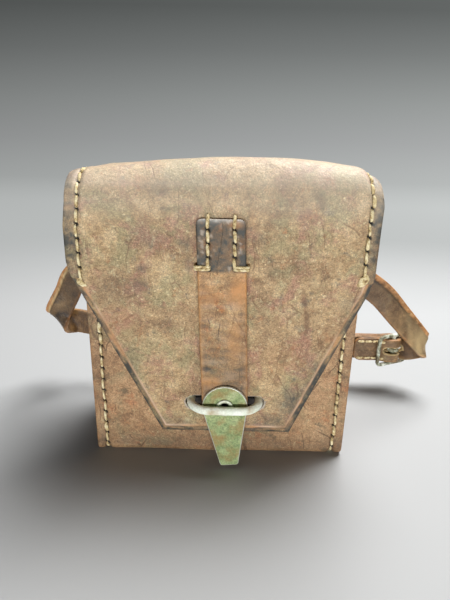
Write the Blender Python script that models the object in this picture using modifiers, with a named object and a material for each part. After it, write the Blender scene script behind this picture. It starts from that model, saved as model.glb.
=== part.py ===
"""Box-shaped leather case with a hinged lid, a strap and tongue closure and a buckled carrying strap.

Metres, +Z up. The case stands on its base: the origin is the middle of the base, the front faces -Y,
and +X is to the right of someone who looks at the front.
"""

from math import acos, cos, degrees, pi, radians, sin

import bmesh
import bpy
from mathutils import Matrix, Vector

MM = 0.001

# Clearances
GAP = 0.3 * MM                   # between pieces that touch
SIDE_PLAY = 0.4 * MM             # between the lid's side walls and the case

# Case: a wrap (front, bottom and back) and two side gussets
CASE_WIDTH = 108.0 * MM
CASE_DEPTH = 50.0 * MM
CASE_HEIGHT = 110.5 * MM
CASE_LEATHER = 3.5 * MM
CASE_BEND = 6.0 * MM             # outer radius of the wrap's bottom bends
GUSSET_LEATHER = 3.0 * MM
GUSSET_FLANGE = 12.0 * MM        # width of the flange behind the wrap's edges

# Lid: top and flap in one piece, with a side wall at each end
LID_LEATHER = 3.2 * MM
WING_LEATHER = 2.8 * MM
FLANGE_LEATHER = 1.6 * MM        # the wings' flanges are skived thinner
WING_FLANGE = 9.0 * MM
FRONT_BEND = 10.5 * MM           # outer radius of the lid's front bend, which starts at the rim
BACK_BEND = 5.0 * MM
CROWN = 4.0 * MM                 # rise of the lid's top in the middle
WING_BOTTOM = 81.0 * MM          # height of the wings' lower edge
FLAP_BOTTOM = 14.4 * MM
FLAP_TIP_WIDTH = 53.7 * MM
FLAP_TIP_SHIFT = 2.4 * MM        # the worn flap hangs a little to the right
SLOT_WIDTH = 32.8 * MM
SLOT_HEIGHT = 6.8 * MM
SLOT_DROP = 1.0 * MM              # from the rivet's axis down to the slot's middle

# Hinge: a strip sewn on the back, from which the lid bends
BEND_DROP = 2.0 * MM             # from the back bend's end down to the line that it turns on
HINGE_STRIP_HEIGHT = 22.0 * MM
HINGE_STRIP_WIDTH = 104.0 * MM

# Closing strap, sewn to the flap above its bend line and free below it
STRAP_LEATHER = 2.8 * MM
STRAP_TOP_WIDTH = 18.0 * MM
STRAP_END_WIDTH = 18.6 * MM
STRAP_TOP = 104.4 * MM
STRAP_BEND = 84.3 * MM
STRAP_END_DROP = 8.5 * MM        # from the rivet down to the strap's hidden end
STRAP_TOP_X = -1.1 * MM
BAR_THREAD = 1.6 * MM            # heavy thread bars round the strap's edges
BAR_REACH = 5.2 * MM

# Tongue and hollow rivet
RIVET_HEIGHT = 29.5 * MM
RIVET_X = 1.8 * MM
TONGUE_RADIUS = 9.2 * MM
TONGUE_STEEL = 1.4 * MM
TONGUE_LENGTH = 28.0 * MM        # from the rivet to the tip
TONGUE_TIP_WIDTH = 8.0 * MM
TONGUE_SHOULDER_WIDTH = 17.6 * MM
TONGUE_TILT = radians(5.0)
RIVET_BORE = 2.25 * MM           # radii of the hollow rivet
RIVET_SHANK = 2.8 * MM
RIVET_COLLAR = 3.6 * MM
RIVET_FOOT = 4.2 * MM
RIVET_STEEL = 0.5 * MM

# Staple that holds the tongue, with its backing plate inside the front
BAIL_WIRE = 1.65 * MM            # radius of the wire
BAIL_HALF = 14.0 * MM            # from the middle to a leg's axis
BAIL_BEND = 8.0 * MM             # radius of the loop's two bends
CLENCH = 7.0 * MM                # how far the clenched ends turn outwards
PLATE_STEEL = 1.0 * MM
PLATE_HEIGHT = 12.0 * MM
PLATE_MARGIN = 6.0 * MM

# Loops on the back
LOOP_LEATHER = 2.0 * MM
LOOP_WIDTH = 16.0 * MM
LOOP_SPACING = 64.0 * MM
LOOP_FOOT = 9.0 * MM

# Carrying strap
CARRY_WIDTH = 13.4 * MM
CARRY_LEATHER = 2.4 * MM
CARRY_PLAY = 0.6 * MM            # between the strap and what it slides in
CARRY_HEIGHT = 62.0 * MM         # height of the run through the back loops
RUN_HEIGHT = 23.8 * MM           # height of the buckled run
PRONG_SLOT = 4.2 * MM            # height of the slot that the prong passes through
PRONG_SLOT_REACH = 6.0 * MM      # to each side of the centre bar
TAIL_TAPER = 12.0 * MM           # length of the tail's point
TAIL_TIP_SHARE = 0.45            # width of the tip, as a share of the strap's
SHORT_END_SHARE = 0.7            # width at the folded end's rounded edge
ROUTE_UNIT = 1.0 * MM            # one unit of the ring's hand-laid route
ROUTE_STEP = 5.0 * MM            # longest step between rows where the ring bends
STRAIGHT_RUN = 20.0 * MM         # a longer stretch of the route is left as one step

# Buckle
BUCKLE_X = 95.5 * MM             # place of the centre bar
BUCKLE_BEHIND = 13.0 * MM        # from the back of the case to the centre bar
BUCKLE_WIRE = 1.1 * MM           # radius
BUCKLE_HALF_LENGTH = 10.0 * MM
BUCKLE_TILT = radians(24.0)
PRONG_WIRE = 0.9 * MM            # radius
PRONG_PAST = 2.6 * MM            # how far the prong reaches past the frame's far bar
KEEPER_LEATHER = 1.6 * MM
KEEPER_WIDTH = 9.0 * MM
KEEPER_X = 58.0 * MM

# Places that follow from the sizes above
CASE_FRONT = -CASE_DEPTH / 2
CASE_BACK = CASE_DEPTH / 2
LID_HALF = CASE_WIDTH / 2 + SIDE_PLAY + WING_LEATHER + GAP
LID_TOP = CASE_HEIGHT + FRONT_BEND
BEND_HEIGHT = LID_TOP - BACK_BEND - BEND_DROP
FLAP_INNER = CASE_FRONT - GAP - FLANGE_LEATHER - GAP
FLAP_OUTER = FLAP_INNER - LID_LEATHER
LID_BACK = CASE_BACK + GAP + LID_LEATHER
STRAP_INNER = FLAP_OUTER - GAP
STRAP_OUTER = STRAP_INNER - STRAP_LEATHER
TONGUE_BACK = STRAP_OUTER - GAP
TONGUE_FRONT = TONGUE_BACK - TONGUE_STEEL
COLLAR_BACK = TONGUE_FRONT - GAP
COLLAR_FRONT = COLLAR_BACK - RIVET_STEEL
BAIL_FRONT = COLLAR_FRONT - GAP - BAIL_WIRE
BAIL_X = RIVET_X
BAIL_HEIGHT = RIVET_HEIGHT
CARRY_Y = CASE_BACK + CARRY_PLAY + CARRY_LEATHER / 2
BUCKLE_Y = CASE_BACK + BUCKLE_BEHIND
FOLD_RADIUS = BUCKLE_WIRE + GAP + CARRY_LEATHER / 2
MAIN_Y = BUCKLE_Y + FOLD_RADIUS
TAIL_Y = MAIN_Y + CARRY_LEATHER + GAP
SHORT_END_Y = MAIN_Y - CARRY_LEATHER - GAP

for old in list(bpy.data.objects):
    bpy.data.objects.remove(old, do_unlink=True)

scene = bpy.context.scene
case_parts = bpy.data.collections.new("leather_case")
cutters = bpy.data.collections.new("cutters")
scene.collection.children.link(case_parts)
scene.collection.children.link(cutters)


# Materials

def make_material(name, color, roughness, metallic=0.0):
    material = bpy.data.materials.new(name)
    material.use_nodes = True
    shader = material.node_tree.nodes["Principled BSDF"]
    shader.inputs["Base Color"].default_value = (*color, 1.0)
    shader.inputs["Roughness"].default_value = roughness
    shader.inputs["Metallic"].default_value = metallic
    material.diffuse_color = (*color, 1.0)
    return material


case_leather = make_material("case_leather", (0.31, 0.17, 0.09), 0.6)
lid_leather = make_material("lid_leather", (0.36, 0.24, 0.15), 0.6)
inner_leather = make_material("inner_leather", (0.24, 0.14, 0.08), 0.75)
strap_leather = make_material("strap_leather", (0.27, 0.15, 0.08), 0.55)
carry_leather = make_material("carry_leather", (0.33, 0.19, 0.10), 0.6)
green_paint = make_material("green_paint", (0.25, 0.33, 0.19), 0.5, 0.2)
bare_steel = make_material("bare_steel", (0.42, 0.42, 0.38), 0.45, 0.9)
linen_thread = make_material("linen_thread", (0.80, 0.72, 0.50), 0.8)


# Modelling helpers

def add_object(name, mesh, material, place=None):
    mesh.materials.clear()
    mesh.materials.append(material)
    part = bpy.data.objects.new(name, mesh)
    case_parts.objects.link(part)
    if place is not None:
        part.matrix_world = place
    return part


def add_cutter(name, mesh, place=None):
    cutter = bpy.data.objects.new(name, mesh)
    cutters.objects.link(cutter)
    if place is not None:
        cutter.matrix_world = place
    cutter.hide_render = True
    cutter.display_type = "WIRE"
    return cutter


def cut(part, cutter, operation="DIFFERENCE"):
    boolean = part.modifiers.new(cutter.name, "BOOLEAN")
    boolean.operation = operation
    boolean.solver = "EXACT"
    boolean.object = cutter


def curve_to_mesh(curve):
    """The closed mesh of a curve, with its caps welded."""
    holder = bpy.data.objects.new("holder", curve)
    scene.collection.objects.link(holder)
    bpy.context.view_layer.update()
    depsgraph = bpy.context.evaluated_depsgraph_get()
    mesh = bpy.data.meshes.new_from_object(holder.evaluated_get(depsgraph))
    bpy.data.objects.remove(holder, do_unlink=True)
    bm = bmesh.new()
    bm.from_mesh(mesh)
    bmesh.ops.remove_doubles(bm, verts=bm.verts, dist=0.00001)
    bmesh.ops.recalc_face_normals(bm, faces=bm.faces)
    bm.to_mesh(mesh)
    bm.free()
    return mesh


def slab(outline, thickness):
    """A flat outline in XY, filled, with half its thickness on each side."""
    curve = bpy.data.curves.new("outline", "CURVE")
    curve.dimensions = "2D"
    curve.fill_mode = "BOTH"
    curve.extrude = thickness / 2
    spline = curve.splines.new("POLY")
    spline.points.add(len(outline) - 1)
    for point, (x, y) in zip(spline.points, outline):
        point.co = (x, y, 0.0, 1.0)
    spline.use_cyclic_u = True
    return curve_to_mesh(curve)


def wire(points, radius, sides_resolution=2, closed=False):
    """A round wire through the points, with filled caps unless it closes on itself."""
    curve = bpy.data.curves.new("wire", "CURVE")
    curve.dimensions = "3D"
    curve.bevel_depth = radius
    curve.bevel_resolution = sides_resolution
    curve.use_fill_caps = not closed
    curve.twist_mode = "MINIMUM"
    spline = curve.splines.new("POLY")
    spline.points.add(len(points) - 1)
    for point, place in zip(spline.points, points):
        point.co = (*place, 1.0)
    spline.use_cyclic_u = closed
    return curve_to_mesh(curve)


def facing_front(y):
    """Places a slab drawn as (x, z) in the plane at y."""
    return Matrix.Translation((0.0, y, 0.0)) @ Matrix.Rotation(pi / 2, 4, "X")


def facing_side(x):
    """Places a slab drawn as (y, z) in the plane at x."""
    turn = Matrix(((0, 0, 1, 0), (1, 0, 0, 0), (0, 1, 0, 0), (0, 0, 0, 1)))
    return Matrix.Translation((x, 0.0, 0.0)) @ turn


def arc(center, radius, start, end, steps):
    """Points of an arc, its angles in degrees."""
    angles = [radians(start + (end - start) * i / steps) for i in range(steps + 1)]
    return [(center[0] + radius * cos(a), center[1] + radius * sin(a)) for a in angles]


def box(name, low, high):
    mesh = bpy.data.meshes.new(name)
    bm = bmesh.new()
    bmesh.ops.create_cube(bm, size=1.0)
    for vert in bm.verts:
        for k in range(3):
            vert.co[k] = low[k] + (vert.co[k] + 0.5) * (high[k] - low[k])
    bm.to_mesh(mesh)
    bm.free()
    return mesh


def drill(name, radius, center, length, sides=24):
    """A cylinder cutter along Y."""
    mesh = bpy.data.meshes.new(name)
    bm = bmesh.new()
    bmesh.ops.create_cone(
        bm, cap_ends=True, segments=sides, radius1=radius, radius2=radius, depth=length
    )
    bm.to_mesh(mesh)
    bm.free()
    return add_cutter(name, mesh, Matrix.Translation(center) @ Matrix.Rotation(pi / 2, 4, "X"))


def pivot(name, place):
    empty = bpy.data.objects.new(name, None)
    empty.empty_display_size = 0.01
    case_parts.objects.link(empty)
    empty.matrix_world = Matrix.Translation(place)
    return empty


def hang(parent, *parts):
    bpy.context.view_layer.update()
    for part in parts:
        place = part.matrix_world.copy()
        part.parent = parent
        part.matrix_parent_inverse = parent.matrix_world.inverted()
        part.matrix_world = place


def smooth(part, angle=40):
    part.data.shade_smooth()
    part.data.set_sharp_from_angle(angle=radians(angle))


# Case

def u_profile(half_depth, bottom, top, radius, steps=5):
    """A U in (y, z), open at the top, as one side of it: front top round to back top."""
    points = [(-half_depth, top)]
    points += arc((-half_depth + radius, bottom + radius), radius, 180, 270, steps)
    points += arc((half_depth - radius, bottom + radius), radius, 270, 360, steps)
    points += [(half_depth, top)]
    return points


def make_body_wrap():
    outer = u_profile(CASE_DEPTH / 2, 0.0, CASE_HEIGHT, CASE_BEND)
    inner = u_profile(
        CASE_DEPTH / 2 - CASE_LEATHER, CASE_LEATHER, CASE_HEIGHT, CASE_BEND - CASE_LEATHER
    )
    wrap = add_object(
        "body_wrap", slab(outer + inner[::-1], CASE_WIDTH), case_leather, facing_side(0.0)
    )
    for side in (-1, 1):
        leg_x = BAIL_X + side * BAIL_HALF
        hole = drill(
            f"leg_hole_{side}", BAIL_WIRE + GAP, (leg_x, CASE_FRONT, BAIL_HEIGHT), 3 * CASE_LEATHER
        )
        cut(wrap, hole)
    return wrap


def make_gusset(name, side):
    """A side wall whose front, bottom and back edges turn in behind the wrap."""
    half = CASE_DEPTH / 2 - CASE_LEATHER - GAP
    bottom = CASE_LEATHER + GAP
    radius = CASE_BEND - CASE_LEATHER - GAP
    wall = CASE_WIDTH / 2
    block = u_profile(half, bottom, CASE_HEIGHT, radius, 4)
    hollow = u_profile(
        half - GUSSET_LEATHER,
        bottom + GUSSET_LEATHER,
        CASE_HEIGHT + GUSSET_LEATHER,
        radius / 2,
        3,
    )
    gusset = add_object(
        name,
        slab(block, GUSSET_FLANGE),
        inner_leather,
        facing_side(side * (wall - GUSSET_FLANGE / 2)),
    )
    inside = add_cutter(
        f"inside_{name}",
        slab(hollow, 2 * GUSSET_FLANGE),
        facing_side(side * (wall - GUSSET_LEATHER - GUSSET_FLANGE)),
    )
    cut(gusset, inside)
    return gusset


def make_hinge_strip():
    top = BEND_HEIGHT
    low = (-HINGE_STRIP_WIDTH / 2, CASE_BACK + GAP, top - HINGE_STRIP_HEIGHT)
    high = (HINGE_STRIP_WIDTH / 2, LID_BACK, top)
    strip = add_object("hinge_strip", box("hinge_strip", low, high), lid_leather)
    return strip


def make_back_loop(name, x):
    """A strap loop: two feet sewn to the back and a bridge over the carrying strap."""
    inner_half = CARRY_WIDTH / 2 + CARRY_PLAY
    outer_half = inner_half + LOOP_LEATHER
    foot_end = outer_half + LOOP_FOOT
    foot = CASE_BACK + GAP
    bridge = CARRY_Y + CARRY_LEATHER / 2 + CARRY_PLAY
    profile = [
        (foot, -foot_end),
        (foot + LOOP_LEATHER, -foot_end),
        (foot + LOOP_LEATHER, -outer_half - LOOP_LEATHER),
        (bridge + LOOP_LEATHER, -inner_half),
        (bridge + LOOP_LEATHER, inner_half),
        (foot + LOOP_LEATHER, outer_half + LOOP_LEATHER),
        (foot + LOOP_LEATHER, foot_end),
        (foot, foot_end),
        (foot, outer_half),
        (bridge, inner_half),
        (bridge, -inner_half),
        (foot, -outer_half),
    ]
    profile = [(y, CARRY_HEIGHT + z) for y, z in profile]
    return add_object(name, slab(profile, LOOP_WIDTH), inner_leather, facing_side(x))


# Lid

def lid_profile():
    """The lid's outer face in (y, z), from the bend at the back over the top to the flap's edge."""
    back = (LID_BACK - BACK_BEND, LID_TOP - BACK_BEND)
    front = (FLAP_OUTER + FRONT_BEND, LID_TOP - FRONT_BEND)
    points = [(LID_BACK, BEND_HEIGHT + GAP)]
    points += arc(back, BACK_BEND, 0, 90, 4)
    top_steps = 6
    for i in range(1, top_steps):
        points.append((back[0] + (front[0] - back[0]) * i / top_steps, LID_TOP))
    points += arc(front, FRONT_BEND, 90, 180, 6)
    points.append((FLAP_OUTER, WING_BOTTOM))
    points.append((FLAP_OUTER, FLAP_BOTTOM))
    return points


def lid_half_width(z):
    """The flap tapers below the wings."""
    if z >= WING_BOTTOM:
        return LID_HALF
    share = (WING_BOTTOM - z) / (WING_BOTTOM - FLAP_BOTTOM)
    return LID_HALF + (FLAP_TIP_WIDTH / 2 - LID_HALF) * share


def flap_shift(z):
    """The flap's tip hangs a little to one side."""
    if z >= WING_BOTTOM:
        return 0.0
    return FLAP_TIP_SHIFT * (WING_BOTTOM - z) / (WING_BOTTOM - FLAP_BOTTOM)


def crown_rise(u, y, z):
    """How far the lid's top bulges, at a share u of its half width."""
    if z < LID_TOP - FRONT_BEND:
        return 0.0
    depth = (y - FLAP_OUTER) / (LID_BACK - FLAP_OUTER)
    return CROWN * (1 - u * u) * min(1.0, 1.6 * sin(pi * min(max(depth, 0.0), 1.0)))


def make_lid_shell():
    profile = lid_profile()
    columns = 12
    bm = bmesh.new()
    bmesh.ops.create_grid(bm, x_segments=columns, y_segments=len(profile) - 1, size=1.0)
    for vert in bm.verts:
        row = round((vert.co.y + 1) / 2 * (len(profile) - 1))
        y, z = profile[row]
        u = vert.co.x
        vert.co = (u * lid_half_width(z) + flap_shift(z), y, z + crown_rise(u, y, z))
    bmesh.ops.recalc_face_normals(bm, faces=bm.faces)
    mesh = bpy.data.meshes.new("lid_shell")
    bm.to_mesh(mesh)
    bm.free()
    shell = add_object("lid_shell", mesh, lid_leather)
    up = max(mesh.polygons, key=lambda face: face.center.z)
    thickness = shell.modifiers.new("thickness", "SOLIDIFY")
    thickness.thickness = LID_LEATHER
    thickness.offset = -1.0 if up.normal.z > 0 else 1.0
    thickness.use_even_offset = True
    slot_z = RIVET_HEIGHT - SLOT_DROP
    low = (BAIL_X - SLOT_WIDTH / 2, FLAP_OUTER - LID_LEATHER, slot_z - SLOT_HEIGHT / 2)
    high = (BAIL_X + SLOT_WIDTH / 2, FLAP_INNER + LID_LEATHER / 2, slot_z + SLOT_HEIGHT / 2)
    cut(shell, add_cutter("bail_slot", box("bail_slot", low, high)))
    return shell


def make_wing(name, side):
    """A side wall of the lid, with a thin flange under the lid's top and behind the flap."""
    top = LID_TOP - LID_LEATHER - GAP
    front = FLAP_INNER + GAP
    back = CASE_BACK
    bend = FRONT_BEND - LID_LEATHER - GAP
    outer = [(back, WING_BOTTOM), (back, top - bend / 2)]
    outer += arc((back - bend / 2, top - bend / 2), bend / 2, 0, 90, 3)[1:]
    outer += arc((front + bend, top - bend), bend, 90, 180, 5)
    outer += [(front, WING_BOTTOM)]
    hollow_bend = bend - FLANGE_LEATHER
    hollow_top = top - FLANGE_LEATHER
    hollow_front = front + FLANGE_LEATHER
    hollow = [
        (back + GUSSET_LEATHER, WING_BOTTOM - GUSSET_LEATHER),
        (back + GUSSET_LEATHER, hollow_top),
    ]
    hollow += arc((hollow_front + hollow_bend, hollow_top - hollow_bend), hollow_bend, 90, 180, 5)
    hollow += [(hollow_front, WING_BOTTOM - GUSSET_LEATHER)]
    wall = LID_HALF - GAP
    wing = add_object(
        name, slab(outer, WING_FLANGE), lid_leather, facing_side(side * (wall - WING_FLANGE / 2))
    )
    inside = add_cutter(
        f"inside_{name}",
        slab(hollow, 2 * WING_FLANGE),
        facing_side(side * (wall - WING_LEATHER - WING_FLANGE)),
    )
    cut(wing, inside)
    return wing


# Closing strap

def strap_center(z):
    share = (STRAP_TOP - z) / (STRAP_TOP - RIVET_HEIGHT)
    return STRAP_TOP_X + (RIVET_X - STRAP_TOP_X) * share


def strap_half_width(z):
    share = (STRAP_TOP - z) / (STRAP_TOP - RIVET_HEIGHT)
    return (STRAP_TOP_WIDTH + (STRAP_END_WIDTH - STRAP_TOP_WIDTH) * share) / 2


def strap_slab(name, bottom, top, round_top, round_bottom):
    corner = 2.0 * MM
    center, half = strap_center(top), strap_half_width(top)
    if round_top:
        outline = arc((center + half - corner, top - corner), corner, 0, 90, 3)
        outline += arc((center - half + corner, top - corner), corner, 90, 180, 3)
    else:
        outline = [(center + half, top), (center - half, top)]
    center, half = strap_center(bottom), strap_half_width(bottom)
    if round_bottom:
        end = half * 0.6
        outline += arc((center - half + end, bottom + end), end, 180, 270, 4)
        outline += arc((center + half - end, bottom + end), end, 270, 360, 4)
    else:
        outline += [(center - half, bottom), (center + half, bottom)]
    middle = (STRAP_INNER + STRAP_OUTER) / 2
    return add_object(name, slab(outline, STRAP_LEATHER), strap_leather, facing_front(middle))


def make_strap_anchor():
    return strap_slab("strap_anchor", STRAP_BEND, STRAP_TOP, True, False)


def make_closing_strap():
    strap = strap_slab(
        "closing_strap", RIVET_HEIGHT - STRAP_END_DROP, STRAP_BEND - GAP, False, True
    )
    rivet = (RIVET_X, STRAP_INNER, RIVET_HEIGHT)
    recess = RIVET_STEEL + 2 * GAP
    cut(strap, drill("rivet_hole", RIVET_SHANK + GAP, rivet, 4 * STRAP_LEATHER))
    cut(strap, drill("rivet_recess", RIVET_FOOT + GAP, rivet, 2 * recess))
    return strap


def make_thread_bar(name, side):
    """A heavy thread that runs over the strap and round its edge, down to the flap."""
    radius = BAR_THREAD / 2
    z = STRAP_BEND + 1.5 * BAR_THREAD
    edge = strap_center(z) + side * (strap_half_width(z) + GAP + radius)
    front = STRAP_OUTER - GAP - radius
    corner = radius * 1.2
    points = [(edge - side * BAR_REACH, front, z)]
    bend = arc((0.0, 0.0), corner, 90, 0, 3)
    for across, deep in bend:
        points.append((edge - side * (corner - across), front + corner - deep, z))
    points.append((edge, FLAP_OUTER - GAP, z))
    bar = add_object(name, wire(points, radius, 1), linen_thread)
    smooth(bar)
    return bar


# Tongue

def make_tongue():
    """A round head with a tapered tail, drawn about the rivet and then tilted on it."""
    tail_end = -TONGUE_LENGTH
    shoulder = TONGUE_SHOULDER_WIDTH / 2
    start = degrees(acos(shoulder / TONGUE_RADIUS))
    outline = arc((0.0, 0.0), TONGUE_RADIUS, -start, 180 + start, 20)
    tip = TONGUE_TIP_WIDTH / 2
    corner = 1.2 * MM
    outline += arc((-tip + corner, tail_end + corner), corner, 180, 270, 2)
    outline += arc((tip - corner, tail_end + corner), corner, 270, 360, 2)
    middle = (TONGUE_BACK + TONGUE_FRONT) / 2
    place = (
        Matrix.Translation((RIVET_X, middle, RIVET_HEIGHT))
        @ Matrix.Rotation(-TONGUE_TILT, 4, "Y")
        @ Matrix.Rotation(pi / 2, 4, "X")
    )
    tongue = add_object("tongue", slab(outline, TONGUE_STEEL), green_paint, place)
    rivet = (RIVET_X, middle, RIVET_HEIGHT)
    cut(tongue, drill("tongue_hole", RIVET_SHANK + GAP, rivet, 6 * TONGUE_STEEL))
    return tongue


def make_eyelet():
    """The hollow rivet, turned about Y: a foot behind the strap, a shank and a front collar."""
    foot_back = STRAP_INNER - GAP
    foot_front = foot_back - RIVET_STEEL
    profile = [
        (RIVET_BORE, foot_back),
        (RIVET_FOOT, foot_back),
        (RIVET_FOOT, foot_front),
        (RIVET_SHANK, foot_front),
        (RIVET_SHANK, COLLAR_BACK),
        (RIVET_COLLAR, COLLAR_BACK),
        (RIVET_COLLAR, COLLAR_FRONT),
        (RIVET_BORE, COLLAR_FRONT),
    ]
    mesh = bpy.data.meshes.new("strap_eyelet")
    bm = bmesh.new()
    verts = [bm.verts.new((radius, 0.0, -y)) for radius, y in profile]
    for i, vert in enumerate(verts):
        bm.edges.new((verts[(i + 1) % len(verts)], vert))
    bm.to_mesh(mesh)
    bm.free()
    place = Matrix.Translation((RIVET_X, 0.0, RIVET_HEIGHT)) @ Matrix.Rotation(pi / 2, 4, "X")
    eyelet = add_object("strap_eyelet", mesh, green_paint, place)
    turn = eyelet.modifiers.new("turned", "SCREW")
    turn.axis = "Z"
    turn.steps = 24
    turn.render_steps = 24
    turn.use_merge_vertices = True
    turn.merge_threshold = 0.00001
    return eyelet


# Staple

def make_bail():
    """A wire loop whose legs pass through the front and are clenched behind the backing plate."""
    inside = CASE_FRONT + CASE_LEATHER + GAP + PLATE_STEEL + GAP + BAIL_WIRE
    clench_bend = BAIL_WIRE * 1.25
    half = []
    for a, b in arc((0.0, 0.0), clench_bend, 90, 180, 3):
        half.append((BAIL_HALF + clench_bend + a, inside - clench_bend + b))
    half.insert(0, (BAIL_HALF + CLENCH, inside))
    for a, b in arc((0.0, 0.0), BAIL_BEND, 0, -90, 5):
        half.append((BAIL_HALF - BAIL_BEND + a, BAIL_FRONT + BAIL_BEND + b))
    path = [(BAIL_X + x, y, BAIL_HEIGHT) for x, y in half]
    path += [(BAIL_X - x, y, BAIL_HEIGHT) for x, y in reversed(half)]
    bail = add_object("bail", wire(path, BAIL_WIRE, 2), green_paint)
    smooth(bail)
    return bail


def make_bail_plate():
    half = BAIL_HALF + PLATE_MARGIN
    front = CASE_FRONT + CASE_LEATHER + GAP
    low = (BAIL_X - half, front, BAIL_HEIGHT - PLATE_HEIGHT / 2)
    high = (BAIL_X + half, front + PLATE_STEEL, BAIL_HEIGHT + PLATE_HEIGHT / 2)
    plate = add_object("bail_plate", box("bail_plate", low, high), bare_steel)
    for side in (-1, 1):
        place = (BAIL_X + side * BAIL_HALF, front, BAIL_HEIGHT)
        cut(plate, drill(f"plate_hole_{side}", BAIL_WIRE + GAP, place, 6 * PLATE_STEEL))
    return plate


# Carrying strap

def buckle_axes():
    """Directions along the buckle's length and out of its face, in plan."""
    along = Vector((cos(BUCKLE_TILT), sin(BUCKLE_TILT), 0.0))
    out = Vector((-sin(BUCKLE_TILT), cos(BUCKLE_TILT), 0.0))
    return along, out


def strap_stations():
    """Middle line and width direction of the strap, from its folded end to its tail's tip.

    The lengths are in route units. The ring's middle line was laid by hand: the folded end
    round the centre bar, the lower run to the left, a flat fold back to the upper run through
    the back loops, and a flat fold at the right into the buckle.
    """
    bar_x, bar_y = BUCKLE_X / ROUTE_UNIT, BUCKLE_Y / ROUTE_UNIT
    run = RUN_HEIGHT / ROUTE_UNIT
    upper = CARRY_HEIGHT / ROUTE_UNIT
    fold, main = FOLD_RADIUS / ROUTE_UNIT, MAIN_Y / ROUTE_UNIT
    short, tail, near = SHORT_END_Y / ROUTE_UNIT, TAIL_Y / ROUTE_UNIT, CARRY_Y / ROUTE_UNIT
    up = (0.0, 0.0, 1.0)
    stations = [((bar_x - 22.0, short, run), up), ((bar_x - 14.0, short, run), up)]
    stations.append(((bar_x - 8.0, short, run), up))
    stations.append(((bar_x - 3.8, bar_y - fold + 0.35, run), up))
    for a, b in arc((bar_x, bar_y), fold, -90, 90, 6):
        stations.append(((a, b, run), up))
    stations += [
        ((bar_x - 8.0, main, run), up),
        ((bar_x - 22.0, main, run), up),
        ((50.0, main, run), up),
        ((20.0, main, run + 1.6), (0.04, 0.0, 1.0)),
        ((-20.0, main, run + 4.6), (0.07, 0.0, 1.0)),
        ((-55.0, main, run + 8.0), (0.05, 0.0, 1.0)),
        ((-70.0, main, run + 10.4), (0.02, 0.0, 1.0)),
        ((-80.4, main, run + 12.2), up),
        ((-83.8, main - 0.9, run + 12.3), (-0.10, 0.36, 0.93)),
        ((-86.7, main - 3.3, run + 13.0), (-0.34, 0.58, 0.74)),
        ((-88.1, main - 6.5, run + 15.0), (-0.64, 0.56, 0.52)),
        ((-88.0, main - 8.9, run + 18.0), (-0.88, 0.33, 0.35)),
        ((-87.2, near + 4.2, upper - 17.0), (-0.96, 0.0, 0.28)),
        ((-81.6, near + 3.8, upper - 7.0), (-0.92, 0.1, 0.36)),
        ((-77.2, near + 3.2, upper + 1.6), (-0.82, 0.1, 0.55)),
        ((-70.0, near + 2.2, upper + 6.6), (-0.42, 0.05, 0.9)),
        ((-61.0, near + 1.1, upper + 5.4), (0.08, 0.0, 1.0)),
        ((-53.5, near + 0.4, upper + 1.8), (0.16, 0.0, 1.0)),
        ((-46.0, near, upper), up),
        ((-20.0, near, upper), up),
        ((20.0, near, upper), up),
        ((46.0, near, upper), up),
        ((57.0, near + 0.3, upper + 3.0), (-0.08, 0.0, 1.0)),
        ((69.0, near + 0.8, upper + 4.0), (0.24, 0.0, 1.0)),
        ((81.0, near + 1.6, upper - 3.0), (0.58, 0.0, 0.8)),
        ((93.0, near + 2.4, upper - 15.2), (0.68, 0.26, 0.7)),
        ((107.0, near + 3.2, upper - 29.8), (0.68, 0.48, 0.6)),
        ((108.8, near + 4.2, run + 6.4), (0.3, 0.6, 0.76)),
        ((109.5, near + 6.4, run + 4.4), (-0.1, 0.5, 0.9)),
        ((108.6, near + 8.8, run + 3.2), (-0.25, 0.15, 0.97)),
        ((106.2, near + 10.4, run + 1.6), (-0.15, 0.0, 1.0)),
        ((102.6, bar_y + 1.2, run + 0.1), up),
        ((99.8, bar_y + 3.6, run), up),
        ((bar_x, bar_y + 6.1, run), up),
        ((bar_x - 7.5, tail, run), up),
        ((bar_x - 22.0, tail, run), up),
        ((50.0, tail, run), up),
        ((30.0, tail, run + 1.0), (0.03, 0.0, 1.0)),
    ]
    return [(Vector(p) * ROUTE_UNIT, Vector(w).normalized()) for p, w in stations]


def spline_point(values, i, t):
    """Catmull-Rom through four neighbours."""
    last = len(values) - 1
    a, b, c, d = (values[min(max(k, 0), last)] for k in (i - 1, i, i + 1, i + 2))
    return 0.5 * (
        2 * b + (c - a) * t + (2 * a - 5 * b + 4 * c - d) * t * t + (3 * b - a - 3 * c + d) * t ** 3
    )


def strap_rows():
    """Points on the strap's middle line with their width directions."""
    stations = strap_stations()
    centers = [p for p, w in stations]
    widths = [w for p, w in stations]
    rows = []
    for i in range(len(stations) - 1):
        length = (centers[i + 1] - centers[i]).length
        count = 1 if length > STRAIGHT_RUN else max(1, round(length / ROUTE_STEP))
        for k in range(count):
            rows.append((spline_point(centers, i, k / count), spline_point(widths, i, k / count)))
    rows.append((centers[-1], widths[-1]))
    return rows


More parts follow.
